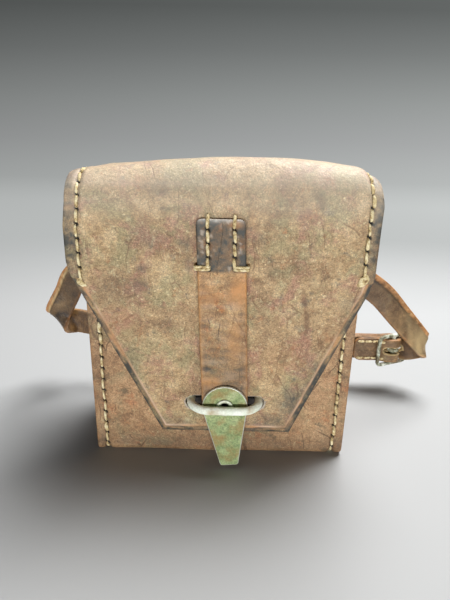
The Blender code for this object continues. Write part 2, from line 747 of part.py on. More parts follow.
def make_carrying_strap():
    rows = strap_rows()
    lengths = [0.0]
    for (start, _), (end, _) in zip(rows, rows[1:]):
        lengths.append(lengths[-1] + (end - start).length)
    bm = bmesh.new()
    bmesh.ops.create_grid(bm, x_segments=2, y_segments=len(rows) - 1, size=1.0)
    for vert in bm.verts:
        row = round((vert.co.y + 1) / 2 * (len(rows) - 1))
        center, width = rows[row]
        before = rows[max(row - 1, 0)][0]
        after = rows[min(row + 1, len(rows) - 1)][0]
        along = (after - before).normalized()
        across = (width - along * width.dot(along)).normalized()
        left = (lengths[-1] - lengths[row]) / TAIL_TAPER
        half = CARRY_WIDTH / 2 * min(1.0, TAIL_TIP_SHARE + (1 - TAIL_TIP_SHARE) * left)
        if row == 0:
            half *= SHORT_END_SHARE
        vert.co = center + across * vert.co.x * half
    bmesh.ops.recalc_face_normals(bm, faces=bm.faces)
    mesh = bpy.data.meshes.new("carrying_strap")
    bm.to_mesh(mesh)
    bm.free()
    strap = add_object("carrying_strap", mesh, carry_leather)
    thickness = strap.modifiers.new("thickness", "SOLIDIFY")
    thickness.thickness = CARRY_LEATHER
    thickness.offset = 0.0
    thickness.use_even_offset = True
    nearest = SHORT_END_Y - 2 * CARRY_LEATHER
    farthest = TAIL_Y + 2 * CARRY_LEATHER
    low = (BUCKLE_X - PRONG_SLOT_REACH, nearest, RUN_HEIGHT - PRONG_SLOT / 2)
    high = (BUCKLE_X + PRONG_SLOT_REACH, farthest, RUN_HEIGHT + PRONG_SLOT / 2)
    cut(strap, add_cutter("prong_slot", box("prong_slot", low, high)))
    return strap


def make_buckle_frame():
    """A rounded wire frame with a bar across its middle."""
    along = buckle_axes()[0]
    center = Vector((BUCKLE_X, BUCKLE_Y, RUN_HEIGHT))
    up = Vector((0.0, 0.0, 1.0))
    half_height = CARRY_WIDTH / 2 + 0.5 * MM + BUCKLE_WIRE
    corner = 2.6 * MM
    corners = [(1, 1, 0), (-1, 1, 90), (-1, -1, 180), (1, -1, 270)]
    loop = []
    for sx, sz, start in corners:
        middle = (sx * (BUCKLE_HALF_LENGTH - corner), sz * (half_height - corner))
        loop += arc(middle, corner, start, start + 90, 4)
    ring = wire([center + along * a + up * b for a, b in loop], BUCKLE_WIRE, 2, closed=True)
    frame = add_object("buckle_frame", ring, green_paint)
    smooth(frame)
    bar = wire([center - up * half_height, center + up * half_height], BUCKLE_WIRE * 0.97, 2)
    cut(frame, add_cutter("centre_bar", bar), "UNION")
    return frame


def make_prong():
    """A pin bent round the centre bar, lying across the frame's far bar."""
    along, out = buckle_axes()
    center = Vector((BUCKLE_X, BUCKLE_Y, RUN_HEIGHT))
    ring = BUCKLE_WIRE + GAP + PRONG_WIRE
    points = [center + along * (BUCKLE_HALF_LENGTH + PRONG_PAST) + out * ring]
    for a, b in arc((0.0, 0.0), ring, 90, 325, 11):
        points.append(center + along * a + out * b)
    prong = add_object("buckle_prong", wire(points, PRONG_WIRE, 2), bare_steel)
    smooth(prong)
    return prong


def make_keeper():
    """A band round the run and the tail, hidden behind the case."""
    inner_low = MAIN_Y - CARRY_LEATHER / 2 - GAP
    inner_high = TAIL_Y + CARRY_LEATHER / 2 + GAP
    half = CARRY_WIDTH / 2 + CARRY_PLAY
    wall = KEEPER_LEATHER
    low = (KEEPER_X - KEEPER_WIDTH / 2, inner_low - wall, RUN_HEIGHT - half - wall)
    high = (KEEPER_X + KEEPER_WIDTH / 2, inner_high + wall, RUN_HEIGHT + half + wall)
    keeper = add_object("strap_keeper", box("strap_keeper", low, high), carry_leather)
    low = (KEEPER_X - KEEPER_WIDTH, inner_low, RUN_HEIGHT - half)
    high = (KEEPER_X + KEEPER_WIDTH, inner_high, RUN_HEIGHT + half)
    cut(keeper, add_cutter("keeper_passage", box("keeper_passage", low, high)))
    return keeper


case_pieces = [
    make_body_wrap(),
    make_gusset("gusset_left", -1),
    make_gusset("gusset_right", 1),
    make_hinge_strip(),
    make_back_loop("back_loop_left", -LOOP_SPACING / 2),
    make_back_loop("back_loop_right", LOOP_SPACING / 2),
    make_bail(),
    make_bail_plate(),
]
lid_pieces = [
    make_lid_shell(),
    make_wing("lid_wing_left", -1),
    make_wing("lid_wing_right", 1),
    make_strap_anchor(),
    make_thread_bar("thread_bar_left", -1),
    make_thread_bar("thread_bar_right", 1),
]
closing_pieces = [make_closing_strap(), make_eyelet()]
tongue_piece = make_tongue()
carry_pieces = [make_carrying_strap(), make_keeper()]
frame_piece = make_buckle_frame()
prong_piece = make_prong()

lid_pivot = pivot("lid_pivot", (0.0, LID_BACK, BEND_HEIGHT + GAP / 2))
strap_pivot = pivot("strap_pivot", (0.0, STRAP_OUTER, STRAP_BEND - GAP / 2))
tongue_pivot = pivot("tongue_pivot", (RIVET_X, (TONGUE_BACK + TONGUE_FRONT) / 2, RIVET_HEIGHT))
buckle_pivot = pivot("buckle_pivot", (BUCKLE_X, BUCKLE_Y, RUN_HEIGHT))
carry_pivot = pivot("carry_pivot", (0.0, CARRY_Y, CARRY_HEIGHT))

hang(tongue_pivot, tongue_piece)
hang(strap_pivot, *closing_pieces, tongue_pivot)
hang(lid_pivot, *lid_pieces, strap_pivot)
hang(buckle_pivot, frame_piece, prong_piece)
hang(carry_pivot, *carry_pieces, buckle_pivot)

print("lid bend line (y, z):", LID_BACK, BEND_HEIGHT + GAP / 2)
print("strap bend line (y, z):", STRAP_OUTER, STRAP_BEND - GAP / 2)
print("rivet axis (x, z):", RIVET_X, RIVET_HEIGHT)
print("centre bar (x, y):", BUCKLE_X, BUCKLE_Y)
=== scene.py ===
import math
import random

import bmesh
import bpy
import numpy as np
from mathutils import Matrix, Vector, noise


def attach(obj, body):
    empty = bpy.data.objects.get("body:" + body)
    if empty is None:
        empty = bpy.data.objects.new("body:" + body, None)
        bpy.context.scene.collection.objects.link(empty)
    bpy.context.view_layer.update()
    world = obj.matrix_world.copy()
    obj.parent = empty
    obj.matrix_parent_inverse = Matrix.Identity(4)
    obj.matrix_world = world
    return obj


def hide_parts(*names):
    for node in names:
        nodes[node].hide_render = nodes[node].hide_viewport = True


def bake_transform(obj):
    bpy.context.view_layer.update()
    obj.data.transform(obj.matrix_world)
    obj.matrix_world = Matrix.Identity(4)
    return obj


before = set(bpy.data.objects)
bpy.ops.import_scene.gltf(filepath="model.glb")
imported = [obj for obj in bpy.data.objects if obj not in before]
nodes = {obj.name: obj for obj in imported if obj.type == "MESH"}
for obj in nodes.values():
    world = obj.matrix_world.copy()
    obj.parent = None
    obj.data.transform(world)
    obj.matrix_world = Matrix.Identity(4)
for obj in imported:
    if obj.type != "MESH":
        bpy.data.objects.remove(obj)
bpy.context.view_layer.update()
mm = 0.001
print("frame loaded")


def linear(hexCode):
    parts = [int(hexCode[i:i + 2], 16) / 255 for i in (1, 3, 5)]
    return tuple(c / 12.92 if c <= 0.04045 else ((c + 0.055) / 1.055) ** 2.4 for c in parts) + (1.0,)


def addNode(tree, kind, settings, links=None):
    node = tree.nodes.new(kind)
    for key, value in settings.items():
        if key == "stops":  # a colour ramp's places and hex colours
            elements = node.color_ramp.elements
            while len(elements) < len(value):
                elements.new(0.5)
            for element, (place, hexCode) in zip(elements, value):
                element.position = place
                element.color = linear(hexCode)
        elif isinstance(key, int) or key in node.inputs:
            node.inputs[key].default_value = value
        else:
            setattr(node, key, value)
    for key, source in (links or {}).items():
        tree.links.new(source, node.inputs[key])
    return node


def newMaterial(name):
    material = bpy.data.materials.new(name)
    material.use_nodes = True
    return material, material.node_tree, material.node_tree.nodes["Principled BSDF"]


# Leather. Each hide is vegetable-tanned cowhide, browned by hand dressing, handling and age:
# a matt, patchy brown with fine pebbled grain, hair-thin scratches and rubbed, paler edges.
# Every leather mesh carries two attributes: flat (place on the unrolled hide, metres) and
# marks (red: rubbed edge, green: dark grime together with painted shade, and above one the painted almost
# black shade inside a hole, blue: flesh side, alpha: bleached, on the lid's top also painted highlight).

def hide(name, look):
    material, tree, shader = newMaterial(name)
    place = addNode(tree, "ShaderNodeAttribute", {"attribute_name": "flat"}).outputs["Vector"]
    marks = addNode(tree, "ShaderNodeAttribute", {"attribute_name": "marks"})
    split = addNode(tree, "ShaderNodeSeparateColor", {}, {"Color": marks.outputs["Color"]})
    rubbed, grimeAndShadeShare, flesh = split.outputs[0], split.outputs[1], split.outputs[2]

    # Dye clouds about 30 mm wide, and blotches of 6 mm within them
    clouds = addNode(tree, "ShaderNodeTexNoise", {
        "Scale": 1 / (30 * mm), "Detail": 5.0, "Roughness": 0.62, "Distortion": 0.4}, {"Vector": place})
    blotches = addNode(tree, "ShaderNodeTexNoise", {
        "Scale": 1 / (6 * mm), "Detail": 6.0, "Roughness": 0.68, "Distortion": 0.2}, {"Vector": place})
    tone = addNode(tree, "ShaderNodeMath", {"operation": "MULTIPLY_ADD", 1: 0.5}, {
        0: clouds.outputs["Fac"], 2: addNode(tree, "ShaderNodeMath", {
            "operation": "MULTIPLY", 1: 0.5}, {0: blotches.outputs["Fac"]}).outputs[0]})
    colour = addNode(tree, "ShaderNodeValToRGB", {"stops": look["dye"]}, {"Fac": tone.outputs[0]}).outputs[0]

    # Patches of old dubbin, red rot, bare hide and soil: colour, width in mm, threshold, amount, seed
    for hexCode, size, threshold, amount, seed in look["patches"]:
        field = addNode(tree, "ShaderNodeTexNoise", {
            "noise_dimensions": "4D", "W": seed, "Scale": 1 / (size * mm), "Detail": 5.0,
            "Roughness": 0.7, "Distortion": 0.3}, {"Vector": place})
        share = addNode(tree, "ShaderNodeMapRange", {
            "From Min": threshold, "From Max": threshold + 0.1, "To Max": amount}, {0: field.outputs["Fac"]})
        colour = addNode(tree, "ShaderNodeMix", {"data_type": "RGBA", 7: linear(hexCode)}, {
            0: share.outputs[0], 6: colour}).outputs[2]

    # Fibre speckle: 1.3 mm, and 0.55 mm, drawn coarser than the real 0.2 mm so that it shows
    specks = []
    for size, amount in ((1.3, look["fleck"] * 0.7), (0.55, look["fleck"])):
        speckle = addNode(tree, "ShaderNodeTexNoise", {
            "Scale": 1 / (size * mm), "Detail": 2.0, "Roughness": 0.7}, {"Vector": place})
        fleck = addNode(tree, "ShaderNodeMapRange", {
            "From Min": 0.32, "From Max": 0.68, "To Min": 1 - amount, "To Max": 1 + amount},
            {0: speckle.outputs["Fac"]})
        colour = addNode(tree, "ShaderNodeMix", {"data_type": "RGBA", "blend_type": "MULTIPLY", 0: 1.0}, {
            6: colour, 7: fleck.outputs[0]}).outputs[2]
        specks.append(speckle)

    # Scratches and dry cracks: long bent cells' borders, 0.3 mm wide, broken up by noise
    bend = addNode(tree, "ShaderNodeTexNoise", {"Scale": 1 / (18 * mm), "Detail": 2.0}, {"Vector": place})
    bent = addNode(tree, "ShaderNodeVectorMath", {"operation": "MULTIPLY_ADD", 1: (9 * mm, 9 * mm, 0.0)}, {
        0: bend.outputs["Color"], 2: place})
    scratch = None
    for turn, wide, tall in ((0.6, 19.0, 75.0), (-0.5, 26.0, 60.0), (1.4, 13.0, 40.0)):
        bed = addNode(tree, "ShaderNodeMapping", {
            "Rotation": (0.0, 0.0, turn), "Scale": (1 / (wide * mm), 1 / (tall * mm), 1.0),
            "Location": (wide, tall, turn)}, {"Vector": bent.outputs[0]})
        cells = addNode(tree, "ShaderNodeTexVoronoi", {
            "feature": "DISTANCE_TO_EDGE", "Scale": 1.0}, {"Vector": bed.outputs[0]})
        thin = addNode(tree, "ShaderNodeMapRange", {
            "From Min": 0.06 / wide, "From Max": 0.22 / wide, "To Min": 1.0, "To Max": 0.0},
            {0: cells.outputs["Distance"]})
        breaks = addNode(tree, "ShaderNodeTexNoise", {
            "noise_dimensions": "4D", "W": wide, "Scale": 1 / (14 * mm), "Detail": 3.0}, {"Vector": place})
        broken = addNode(tree, "ShaderNodeMapRange", {
            "From Min": 0.52, "From Max": 0.60, "To Max": look["scratches"]}, {0: breaks.outputs["Fac"]})
        lines = addNode(tree, "ShaderNodeMath", {"operation": "MULTIPLY"}, {
            0: thin.outputs[0], 1: broken.outputs[0]})
        scratch = lines.outputs[0] if scratch is None else addNode(
            tree, "ShaderNodeMath", {"operation": "MAXIMUM"}, {0: scratch, 1: lines.outputs[0]}).outputs[0]

    # Grime with painted shade, and rubbed edges, are broken up by the blotches
    breakUp = addNode(tree, "ShaderNodeMapRange", {
        "From Min": 0.32, "From Max": 0.62, "To Min": 0.25, "To Max": 1.25}, {0: blotches.outputs["Fac"]})
    soiledAndShaded = addNode(tree, "ShaderNodeMath", {"operation": "MINIMUM", 1: 1.0}, {0: grimeAndShadeShare})
    dirtAndShade, rub = [addNode(tree, "ShaderNodeMath", {"operation": "MULTIPLY", "use_clamp": True}, {
        0: source, 1: breakUp.outputs[0]}).outputs[0] for source in (soiledAndShaded.outputs[0], rubbed)]
    fleshTone = addNode(tree, "ShaderNodeValToRGB", {"stops": look["flesh"]}, {
        "Fac": blotches.outputs["Fac"]})
    # Green above 1.2 is painted shade: the almost black inside of awl holes, slots and cut walls
    deep = addNode(tree, "ShaderNodeMapRange", {"From Min": 1.2, "From Max": 2.2}, {0: grimeAndShadeShare})

    # Over the dye lie scratches, grime with painted shade, the paler and more orange rubbed edges, the dull
    # flesh side, bleaching with some painted highlight, and the almost black painted shade inside a hole
    for share, layer in ((scratch, look["scratch"]), (dirtAndShade, look["grimeAndShade"]), (rub, look["rub"]),
                         (flesh, fleshTone.outputs["Color"]), (marks.outputs["Alpha"], look["pale"]),
                         (deep.outputs[0], "#170f0a")):
        plain = {7: linear(layer)} if isinstance(layer, str) else {}
        shaded = {} if plain else {7: layer}
        colour = addNode(tree, "ShaderNodeMix", {"data_type": "RGBA", **plain}, {
            0: share, 6: colour, **shaded}).outputs[2]
    tree.links.new(colour, shader.inputs["Base Color"])

    # Pebbled grain of 0.8 mm, soft hollows of 6 mm, fibres and scratches, as heights in millimetres
    pebbles = addNode(tree, "ShaderNodeTexVoronoi", {
        "Scale": 1 / (0.8 * mm), "Randomness": 1.0, "feature": "SMOOTH_F1"}, {"Vector": place})
    height = None
    for amount, field in ((0.16, pebbles.outputs["Distance"]), (0.7, blotches.outputs["Fac"]),
                          (0.16, specks[0].outputs["Fac"]), (0.10, specks[1].outputs["Fac"]),
                          (-0.14, scratch)):
        term = addNode(tree, "ShaderNodeMath", {"operation": "MULTIPLY", 1: amount}, {0: field})
        height = term if height is None else addNode(tree, "ShaderNodeMath", {}, {
            0: height.outputs[0], 1: term.outputs[0]})
    relief = addNode(tree, "ShaderNodeBump", {"Strength": look["relief"], "Distance": 1.0 * mm}, {
        "Height": height.outputs[0]})
    tree.links.new(relief.outputs["Normal"], shader.inputs["Normal"])
    gloss = addNode(tree, "ShaderNodeMapRange", {
        "From Min": 0.3, "From Max": 0.7, "To Min": look["roughness"] + 0.1,
        "To Max": look["roughness"] - 0.1}, {0: blotches.outputs["Fac"]})
    tree.links.new(gloss.outputs[0], shader.inputs["Roughness"])
    shader.inputs["IOR"].default_value = 1.47
    return material


lidHide = hide("lid cowhide, dressed and worn", {
    "dye": [(0.32, "#6f5339"), (0.43, "#957959"), (0.50, "#ad9069"), (0.58, "#bfa47c"), (0.68, "#cfb992")],
    "patches": [("#97906a", 16.0, 0.50, 0.6, 3.7), ("#a27362", 11.0, 0.52, 0.6, 6.2),
                ("#ab6c42", 7.0, 0.58, 0.6, 9.1), ("#67645a", 6.0, 0.59, 0.7, 12.4),
                ("#d9cba0", 4.0, 0.58, 0.6, 15.8), ("#5c4433", 1.6, 0.58, 0.5, 18.9),
                ("#e0d0a6", 1.1, 0.57, 0.6, 21.3)],
    "fleck": 0.36, "scratch": "#6b4a33", "scratches": 0.55, "grimeAndShade": "#40403a", "rub": "#c89465",
    "flesh": [(0.35, "#5a4130"), (0.65, "#7d6148")], "pale": "#ddd2c2",
    "relief": 0.6, "roughness": 0.62})
caseHide = hide("case cowhide, dressed and worn", {
    "dye": [(0.32, "#63462f"), (0.43, "#8a6a4c"), (0.50, "#a3805c"), (0.58, "#b7936c"), (0.68, "#c6a67e")],
    "patches": [("#8d8260", 14.0, 0.52, 0.55, 2.7), ("#aa6840", 9.0, 0.56, 0.55, 7.9),
                ("#59523f", 7.0, 0.57, 0.65, 11.3), ("#d0bf92", 4.0, 0.60, 0.6, 14.1),
                ("#503826", 1.6, 0.58, 0.5, 18.1), ("#d9c595", 1.1, 0.58, 0.55, 22.6)],
    "fleck": 0.34, "scratch": "#4f3523", "scratches": 0.7, "grimeAndShade": "#3a3027", "rub": "#bd8a5a",
    "flesh": [(0.35, "#54402f"), (0.65, "#775d45")], "pale": "#d9c6ac",
    "relief": 0.6, "roughness": 0.6})
wallHide = hide("side wall cowhide, dark and dry", {
    "dye": [(0.32, "#4f3727"), (0.43, "#705440"), (0.50, "#866a50"), (0.58, "#98795a"), (0.68, "#ab8d6c")],
    "patches": [("#7d745d", 12.0, 0.54, 0.5, 2.1), ("#935f3c", 8.0, 0.57, 0.5, 8.3),
                ("#51493d", 7.0, 0.58, 0.6, 13.3), ("#c2ad82", 1.2, 0.60, 0.45, 17.7)],
    "fleck": 0.3, "scratch": "#46352a", "scratches": 0.6, "grimeAndShade": "#3a3027", "rub": "#b08559",
    "flesh": [(0.35, "#4f3b2b"), (0.65, "#6f563f")], "pale": "#d0bda2",
    "relief": 0.5, "roughness": 0.66})
strapHide = hide("closing strap cowhide, dry and cracked", {
    "dye": [(0.32, "#6f4e33"), (0.43, "#98734e"), (0.50, "#b18b5f"), (0.58, "#c39e70"), (0.68, "#cfb080")],
    "patches": [("#8f8762", 9.0, 0.55, 0.5, 1.9), ("#b9743c", 8.0, 0.55, 0.7, 5.5),
                ("#574f40", 5.0, 0.59, 0.65, 10.7), ("#dcc892", 3.5, 0.59, 0.6, 17.2),
                ("#523923", 1.3, 0.56, 0.6, 19.5), ("#e6cf97", 1.0, 0.57, 0.6, 23.1)],
    "fleck": 0.34, "scratch": "#4f3524", "scratches": 0.8, "grimeAndShade": "#45443e", "rub": "#c98f55",
    "flesh": [(0.35, "#54402f"), (0.65, "#775d45")], "pale": "#dfdcd4",
    "relief": 0.7, "roughness": 0.58})
carryHide = hide("carrying strap cowhide, oiled by handling", {
    "dye": [(0.32, "#46311d"), (0.43, "#654c30"), (0.50, "#7a5f40"), (0.58, "#92754f"), (0.68, "#ae9166")],
    "patches": [("#8b7d5a", 9.0, 0.55, 0.5, 4.4), ("#9a6436", 8.0, 0.58, 0.5, 8.8),
                ("#42362a", 6.0, 0.58, 0.6, 13.9), ("#c9b183", 1.2, 0.60, 0.45, 16.6)],
    "fleck": 0.26, "scratch": "#3b2a19", "scratches": 0.7, "grimeAndShade": "#33261a", "rub": "#bd8450",
    "flesh": [(0.35, "#46331f"), (0.5, "#664a2b"), (0.65, "#8a6a40")], "pale": "#dcc391",
    "relief": 0.5, "roughness": 0.48})


def paintedSteel(name, look):
    # Pressed steel under an old green paint: chalky, pitted, worn to bright metal on its edges
    material, tree, shader = newMaterial(name)
    place = addNode(tree, "ShaderNodeTexCoord", {}).outputs["Object"]
    marks = addNode(tree, "ShaderNodeAttribute", {"attribute_name": "marks"})
    split = addNode(tree, "ShaderNodeSeparateColor", {}, {"Color": marks.outputs["Color"]})
    patches = addNode(tree, "ShaderNodeTexNoise", {
        "Scale": 1 / (4 * mm), "Detail": 6.0, "Roughness": 0.7}, {"Vector": place})
    pits = addNode(tree, "ShaderNodeTexNoise", {
        "Scale": 1 / (0.9 * mm), "Detail": 3.0, "Roughness": 0.8}, {"Vector": place})
    paint = addNode(tree, "ShaderNodeValToRGB", {"stops": look["paint"]}, {
        "Fac": patches.outputs["Fac"]})
    specks = addNode(tree, "ShaderNodeMapRange", {
        "From Min": 0.35, "From Max": 0.65, "To Min": 1 - look["specks"], "To Max": 1 + look["specks"]}, {
        0: pits.outputs["Fac"]})
    colour = addNode(tree, "ShaderNodeMix", {
        "data_type": "RGBA", "blend_type": "MULTIPLY", 0: 1.0}, {
        6: paint.outputs["Color"], 7: specks.outputs[0]})
    ragged = addNode(tree, "ShaderNodeMapRange", {
        "From Min": 0.36, "From Max": 0.6, "To Min": 0.35, "To Max": 1.3}, {0: patches.outputs["Fac"]})
    rusting = addNode(tree, "ShaderNodeTexNoise", {
        "noise_dimensions": "4D", "W": 4.6, "Scale": 1 / (8 * mm), "Detail": 4.0}, {"Vector": place})
    rusted = addNode(tree, "ShaderNodeMapRange", {"From Min": 0.54, "From Max": 0.64, "To Max": 0.6}, {
        0: rusting.outputs["Fac"]})
    allRust = addNode(tree, "ShaderNodeMath", {}, {0: split.outputs[1], 1: rusted.outputs[0]})
    stained, bare = [addNode(tree, "ShaderNodeMath", {"operation": "MULTIPLY", "use_clamp": True}, {
        0: source, 1: ragged.outputs[0]}) for source in (allRust.outputs[0], split.outputs[0])]
    for share, hexCode in ((stained, look["rust"]), (bare, look["edge"])):
        colour = addNode(tree, "ShaderNodeMix", {"data_type": "RGBA", 7: linear(hexCode)}, {
            0: share.outputs[0], 6: colour.outputs[2]})
    tree.links.new(colour.outputs[2], shader.inputs["Base Color"])
    shine = addNode(tree, "ShaderNodeMath", {"operation": "MULTIPLY", 1: 0.55}, {0: bare.outputs[0]})
    tree.links.new(shine.outputs[0], shader.inputs["Metallic"])
    gloss = addNode(tree, "ShaderNodeMapRange", {"To Min": 0.7, "To Max": 0.38}, {0: bare.outputs[0]})
    tree.links.new(gloss.outputs[0], shader.inputs["Roughness"])
    relief = addNode(tree, "ShaderNodeBump", {"Strength": 0.35, "Distance": 0.2 * mm}, {
        "Height": pits.outputs["Fac"]})
    tree.links.new(relief.outputs["Normal"], shader.inputs["Normal"])
    shader.inputs["IOR"].default_value = 1.5
    return material


tonguePaint = paintedSteel("pressed steel tongue, old green paint", {
    "specks": 0.34,
    "paint": [(0.3, "#6d8455"), (0.5, "#96a572"), (0.7, "#b9bf92")], "rust": "#94713a", "edge": "#e4e6da"})
staplePaint = paintedSteel("steel wire staple, chalky green paint", {
    "specks": 0.1,
    "paint": [(0.3, "#dfead2"), (0.5, "#f2f8e8"), (0.7, "#fafdf3")], "rust": "#b39c6c", "edge": "#f1f3ea"})
bucklePaint = paintedSteel("steel wire buckle, dull plate", {
    "specks": 0.2,
    "paint": [(0.38, "#4f4a38"), (0.5, "#8a8c74"), (0.62, "#dfe3d3")], "rust": "#6f5638", "edge": "#e3e6da"})

thread, threadTree, threadShader = newMaterial("waxed linen thread")  # matt, cream, two plies show
threadPlace = addNode(threadTree, "ShaderNodeAttribute", {"attribute_name": "flat"}).outputs["Vector"]
plies = addNode(threadTree, "ShaderNodeTexWave", {
    "wave_type": "BANDS", "bands_direction": "DIAGONAL", "Scale": 1 / (6.0 * mm), "Distortion": 1.5,
    "Detail": 2.0}, {"Vector": threadPlace})
soil = addNode(threadTree, "ShaderNodeTexNoise", {
    "Scale": 1 / (2.0 * mm), "Detail": 5.0, "Roughness": 0.75}, {"Vector": threadPlace})
threadTone = addNode(threadTree, "ShaderNodeValToRGB", {
    "stops": [(0.36, "#866b45"), (0.47, "#cdb683"), (0.62, "#f3e8c0")]}, {"Fac": soil.outputs["Fac"]})
threadTree.links.new(threadTone.outputs["Color"], threadShader.inputs["Base Color"])
threadShader.inputs["Roughness"].default_value = 0.8
threadRelief = addNode(threadTree, "ShaderNodeBump", {"Strength": 0.6, "Distance": 0.25 * mm}, {
    "Height": plies.outputs["Fac"]})
threadTree.links.new(threadRelief.outputs["Normal"], threadShader.inputs["Normal"])

print("materials made")


# Mesh helpers

def storeMarks(mesh, flat, marks):
    place = mesh.attributes.new("flat", "FLOAT_VECTOR", "POINT")
    place.data.foreach_set("vector", np.asarray(flat, np.float32).ravel())
    paint = mesh.attributes.new("marks", "FLOAT_COLOR", "POINT")
    paint.data.foreach_set("color", np.asarray(marks, np.float32).ravel())


def meshPiece(name, verts, faces, material, flat=None, marks=None):
    mesh = bpy.data.meshes.new(name)
    mesh.from_pydata([tuple(v) for v in verts], [], faces)
    mesh.update()
    mesh.shade_smooth()
    mesh.materials.append(material)
    flat = np.asarray(verts) if flat is None else flat
    marks = np.tile((0.0, 0.0, 0.0, 0.0), (len(verts), 1)) if marks is None else marks
    storeMarks(mesh, flat, marks)
    piece = bpy.data.objects.new(name, mesh)
    bpy.context.scene.collection.objects.link(piece)
    return piece


def faceOutward(piece):
    shape = bmesh.new()
    shape.from_mesh(piece.data)
    bmesh.ops.recalc_face_normals(shape, faces=shape.faces)
    shape.to_mesh(piece.data)
    shape.free()


def unit(values):
    return np.clip(values, 0.0, 1.0)


def bump(distance, width):
    # A soft ridge or groove across that distance
    return np.exp(-((distance / width) ** 2))


def spread(column, like):
    # The same value along each row
    return np.repeat(column[:, None], like.shape[1], 1)


def ringFaces(count, rings, closed=False):
    # Quads between rings of that many points; closed joins the last ring to the first
    faces = []
    for k in range(rings if closed else rings - 1):
        for i in range(count):
            j, n = (i + 1) % count, (k + 1) % rings
            faces.append([k * count + i, k * count + j, n * count + j, n * count + i])
    return faces


def applyModifiers(piece):
    bpy.context.view_layer.update()
    ready = piece.evaluated_get(bpy.context.evaluated_depsgraph_get())
    mesh = bpy.data.meshes.new_from_object(ready)
    piece.modifiers.clear()
    piece.data = mesh


def edgeSteps(radius):
    return [radius * (1 - math.cos(math.radians(a))) for a in (0, 22.5, 45, 67.5, 90)]


def surfaceNormals(points):
    along = np.gradient(points, axis=0)
    across = np.gradient(points, axis=1)
    normals = np.cross(along, across)
    return normals / np.maximum(np.linalg.norm(normals, axis=2, keepdims=True), 1e-9)


def roundOver(distance, radius):
    # How far a rounded rim or corner falls away at that distance from its border
    inside = np.clip(radius - distance, 0.0, radius)
    return radius - np.sqrt(np.maximum(radius ** 2 - inside ** 2, 0.0))


def leatherSheet(name, outer, thickness, across, along, edges, material, marks, radius=0.8 * mm,
                 rows=None, normals=None):
    # outer: grain face points [row, column]; across and along: flat places; edges: distance to the rim.
    # Both faces are rounded over towards the rim. The normals point out of the grain side.
    normals = surfaceNormals(outer) if normals is None else normals
    lost = roundOver(edges, radius)[..., None]
    top = outer - normals * lost
    under = outer - normals * (thickness - lost)
    if rows is not None:
        top, under, across, along = top[rows], under[rows], across[rows], along[rows]
        marks, edges = marks[rows], edges[rows]
    count, width = top.shape[:2]
    index = np.arange(count * width).reshape(count, width)
    size = count * width
    verts = np.concatenate([top.reshape(-1, 3), under.reshape(-1, 3)])
    a, b, c, d = index[:-1, :-1], index[:-1, 1:], index[1:, 1:], index[1:, :-1]
    faces = np.stack([a, d, c, b], -1).reshape(-1, 4).tolist()
    faces += (np.stack([a, b, c, d], -1).reshape(-1, 4) + size).tolist()
    rim = list(index[0, :]) + list(index[1:, -1]) + list(index[-1, -2::-1]) + list(index[-2:0:-1, 0])
    for i, j in zip(rim, rim[1:] + rim[:1]):
        faces.append([int(i), int(j), int(j) + size, int(i) + size])
    flatTop = np.stack([across, along, np.zeros_like(across)], -1).reshape(-1, 3)
    flatUnder = flatTop + np.array([0.0, 0.0, thickness])
    fleshMarks = np.zeros_like(marks)
    fleshMarks[..., 0] = marks[..., 0] * 0.6
    fleshMarks[..., 2] = unit(edges / (1.2 * mm))
    paint = np.concatenate([marks.reshape(-1, 4), fleshMarks.reshape(-1, 4)])
    return meshPiece(name, verts, faces, material, np.concatenate([flatTop, flatUnder]), paint)


def softNoise(u, v, size, seed):
    # Smooth noise from -1 to 1 at flat places, in features of that size
    values = [noise.noise((x / size + seed, y / size - seed, seed)) for x, y in zip(u.ravel(), v.ravel())]
    return np.array(values).reshape(u.shape)


def tube(path, radius, sides, closed=False, squash=1.0, up=None):
    # Ring vertices along a path: radius is a number or one for each point
    path = [Vector(p) for p in path]
    count = len(path)
    radii = radius if isinstance(radius, (list, tuple)) else [radius] * count
    verts, flat = [], []
    length = 0.0
    side = None
    for i, point in enumerate(path):
        before = path[(i - 1) % count] if closed or i else point
        after = path[(i + 1) % count] if closed or i < count - 1 else point
        tangent = (after - before).normalized()
        if up is not None:
            side = tangent.cross(Vector(up)).normalized()
        elif side is None:
            side = tangent.orthogonal().normalized()
        else:
            side = (side - tangent * side.dot(tangent)).normalized()
        high = side.cross(tangent)
        length += (point - before).length if i else 0.0
        for k in range(sides):
            angle = 2 * math.pi * k / sides
            verts.append(point + side * math.cos(angle) * radii[i]
                         + high * math.sin(angle) * radii[i] * squash)
            flat.append((angle * radii[i], length, 0.0))
    faces = ringFaces(sides, count, closed)
    if not closed:
        faces.append(list(range(sides))[::-1])
        faces.append([(count - 1) * sides + k for k in range(sides)])
    return verts, faces, flat


def joinTubes(name, tubes, material, marks=None):
    verts, faces, flat = [], [], []
    for tubeVerts, tubeFaces, tubeFlat in tubes:
        start = len(verts)
        verts += [tuple(v) for v in tubeVerts]
        faces += [[start + i for i in face] for face in tubeFaces]
        flat += [(x, y + 0.37 * start * mm, z) for x, y, z in tubeFlat]
    piece = meshPiece(name, verts, faces, material, flat, marks)
    faceOutward(piece)
    return piece


def arc(center, radius, start, end, steps):
    angles = [math.radians(start + (end - start) * i / steps) for i in range(steps + 1)]
    return [(center[0] + radius * math.cos(a), center[1] + radius * math.sin(a)) for a in angles]


def resample(path, step):
    # Evenly spaced points on a polyline, with their lengths from its start
    path = np.asarray(path)
    lengths = np.concatenate([[0.0], np.cumsum(np.linalg.norm(np.diff(path, axis=0), axis=1))])
    count = max(2, int(round(lengths[-1] / step)) + 1)
    places = np.linspace(0.0, lengths[-1], count)
    return np.stack([np.interp(places, lengths, path[:, k]) for k in range(path.shape[1])], 1), places


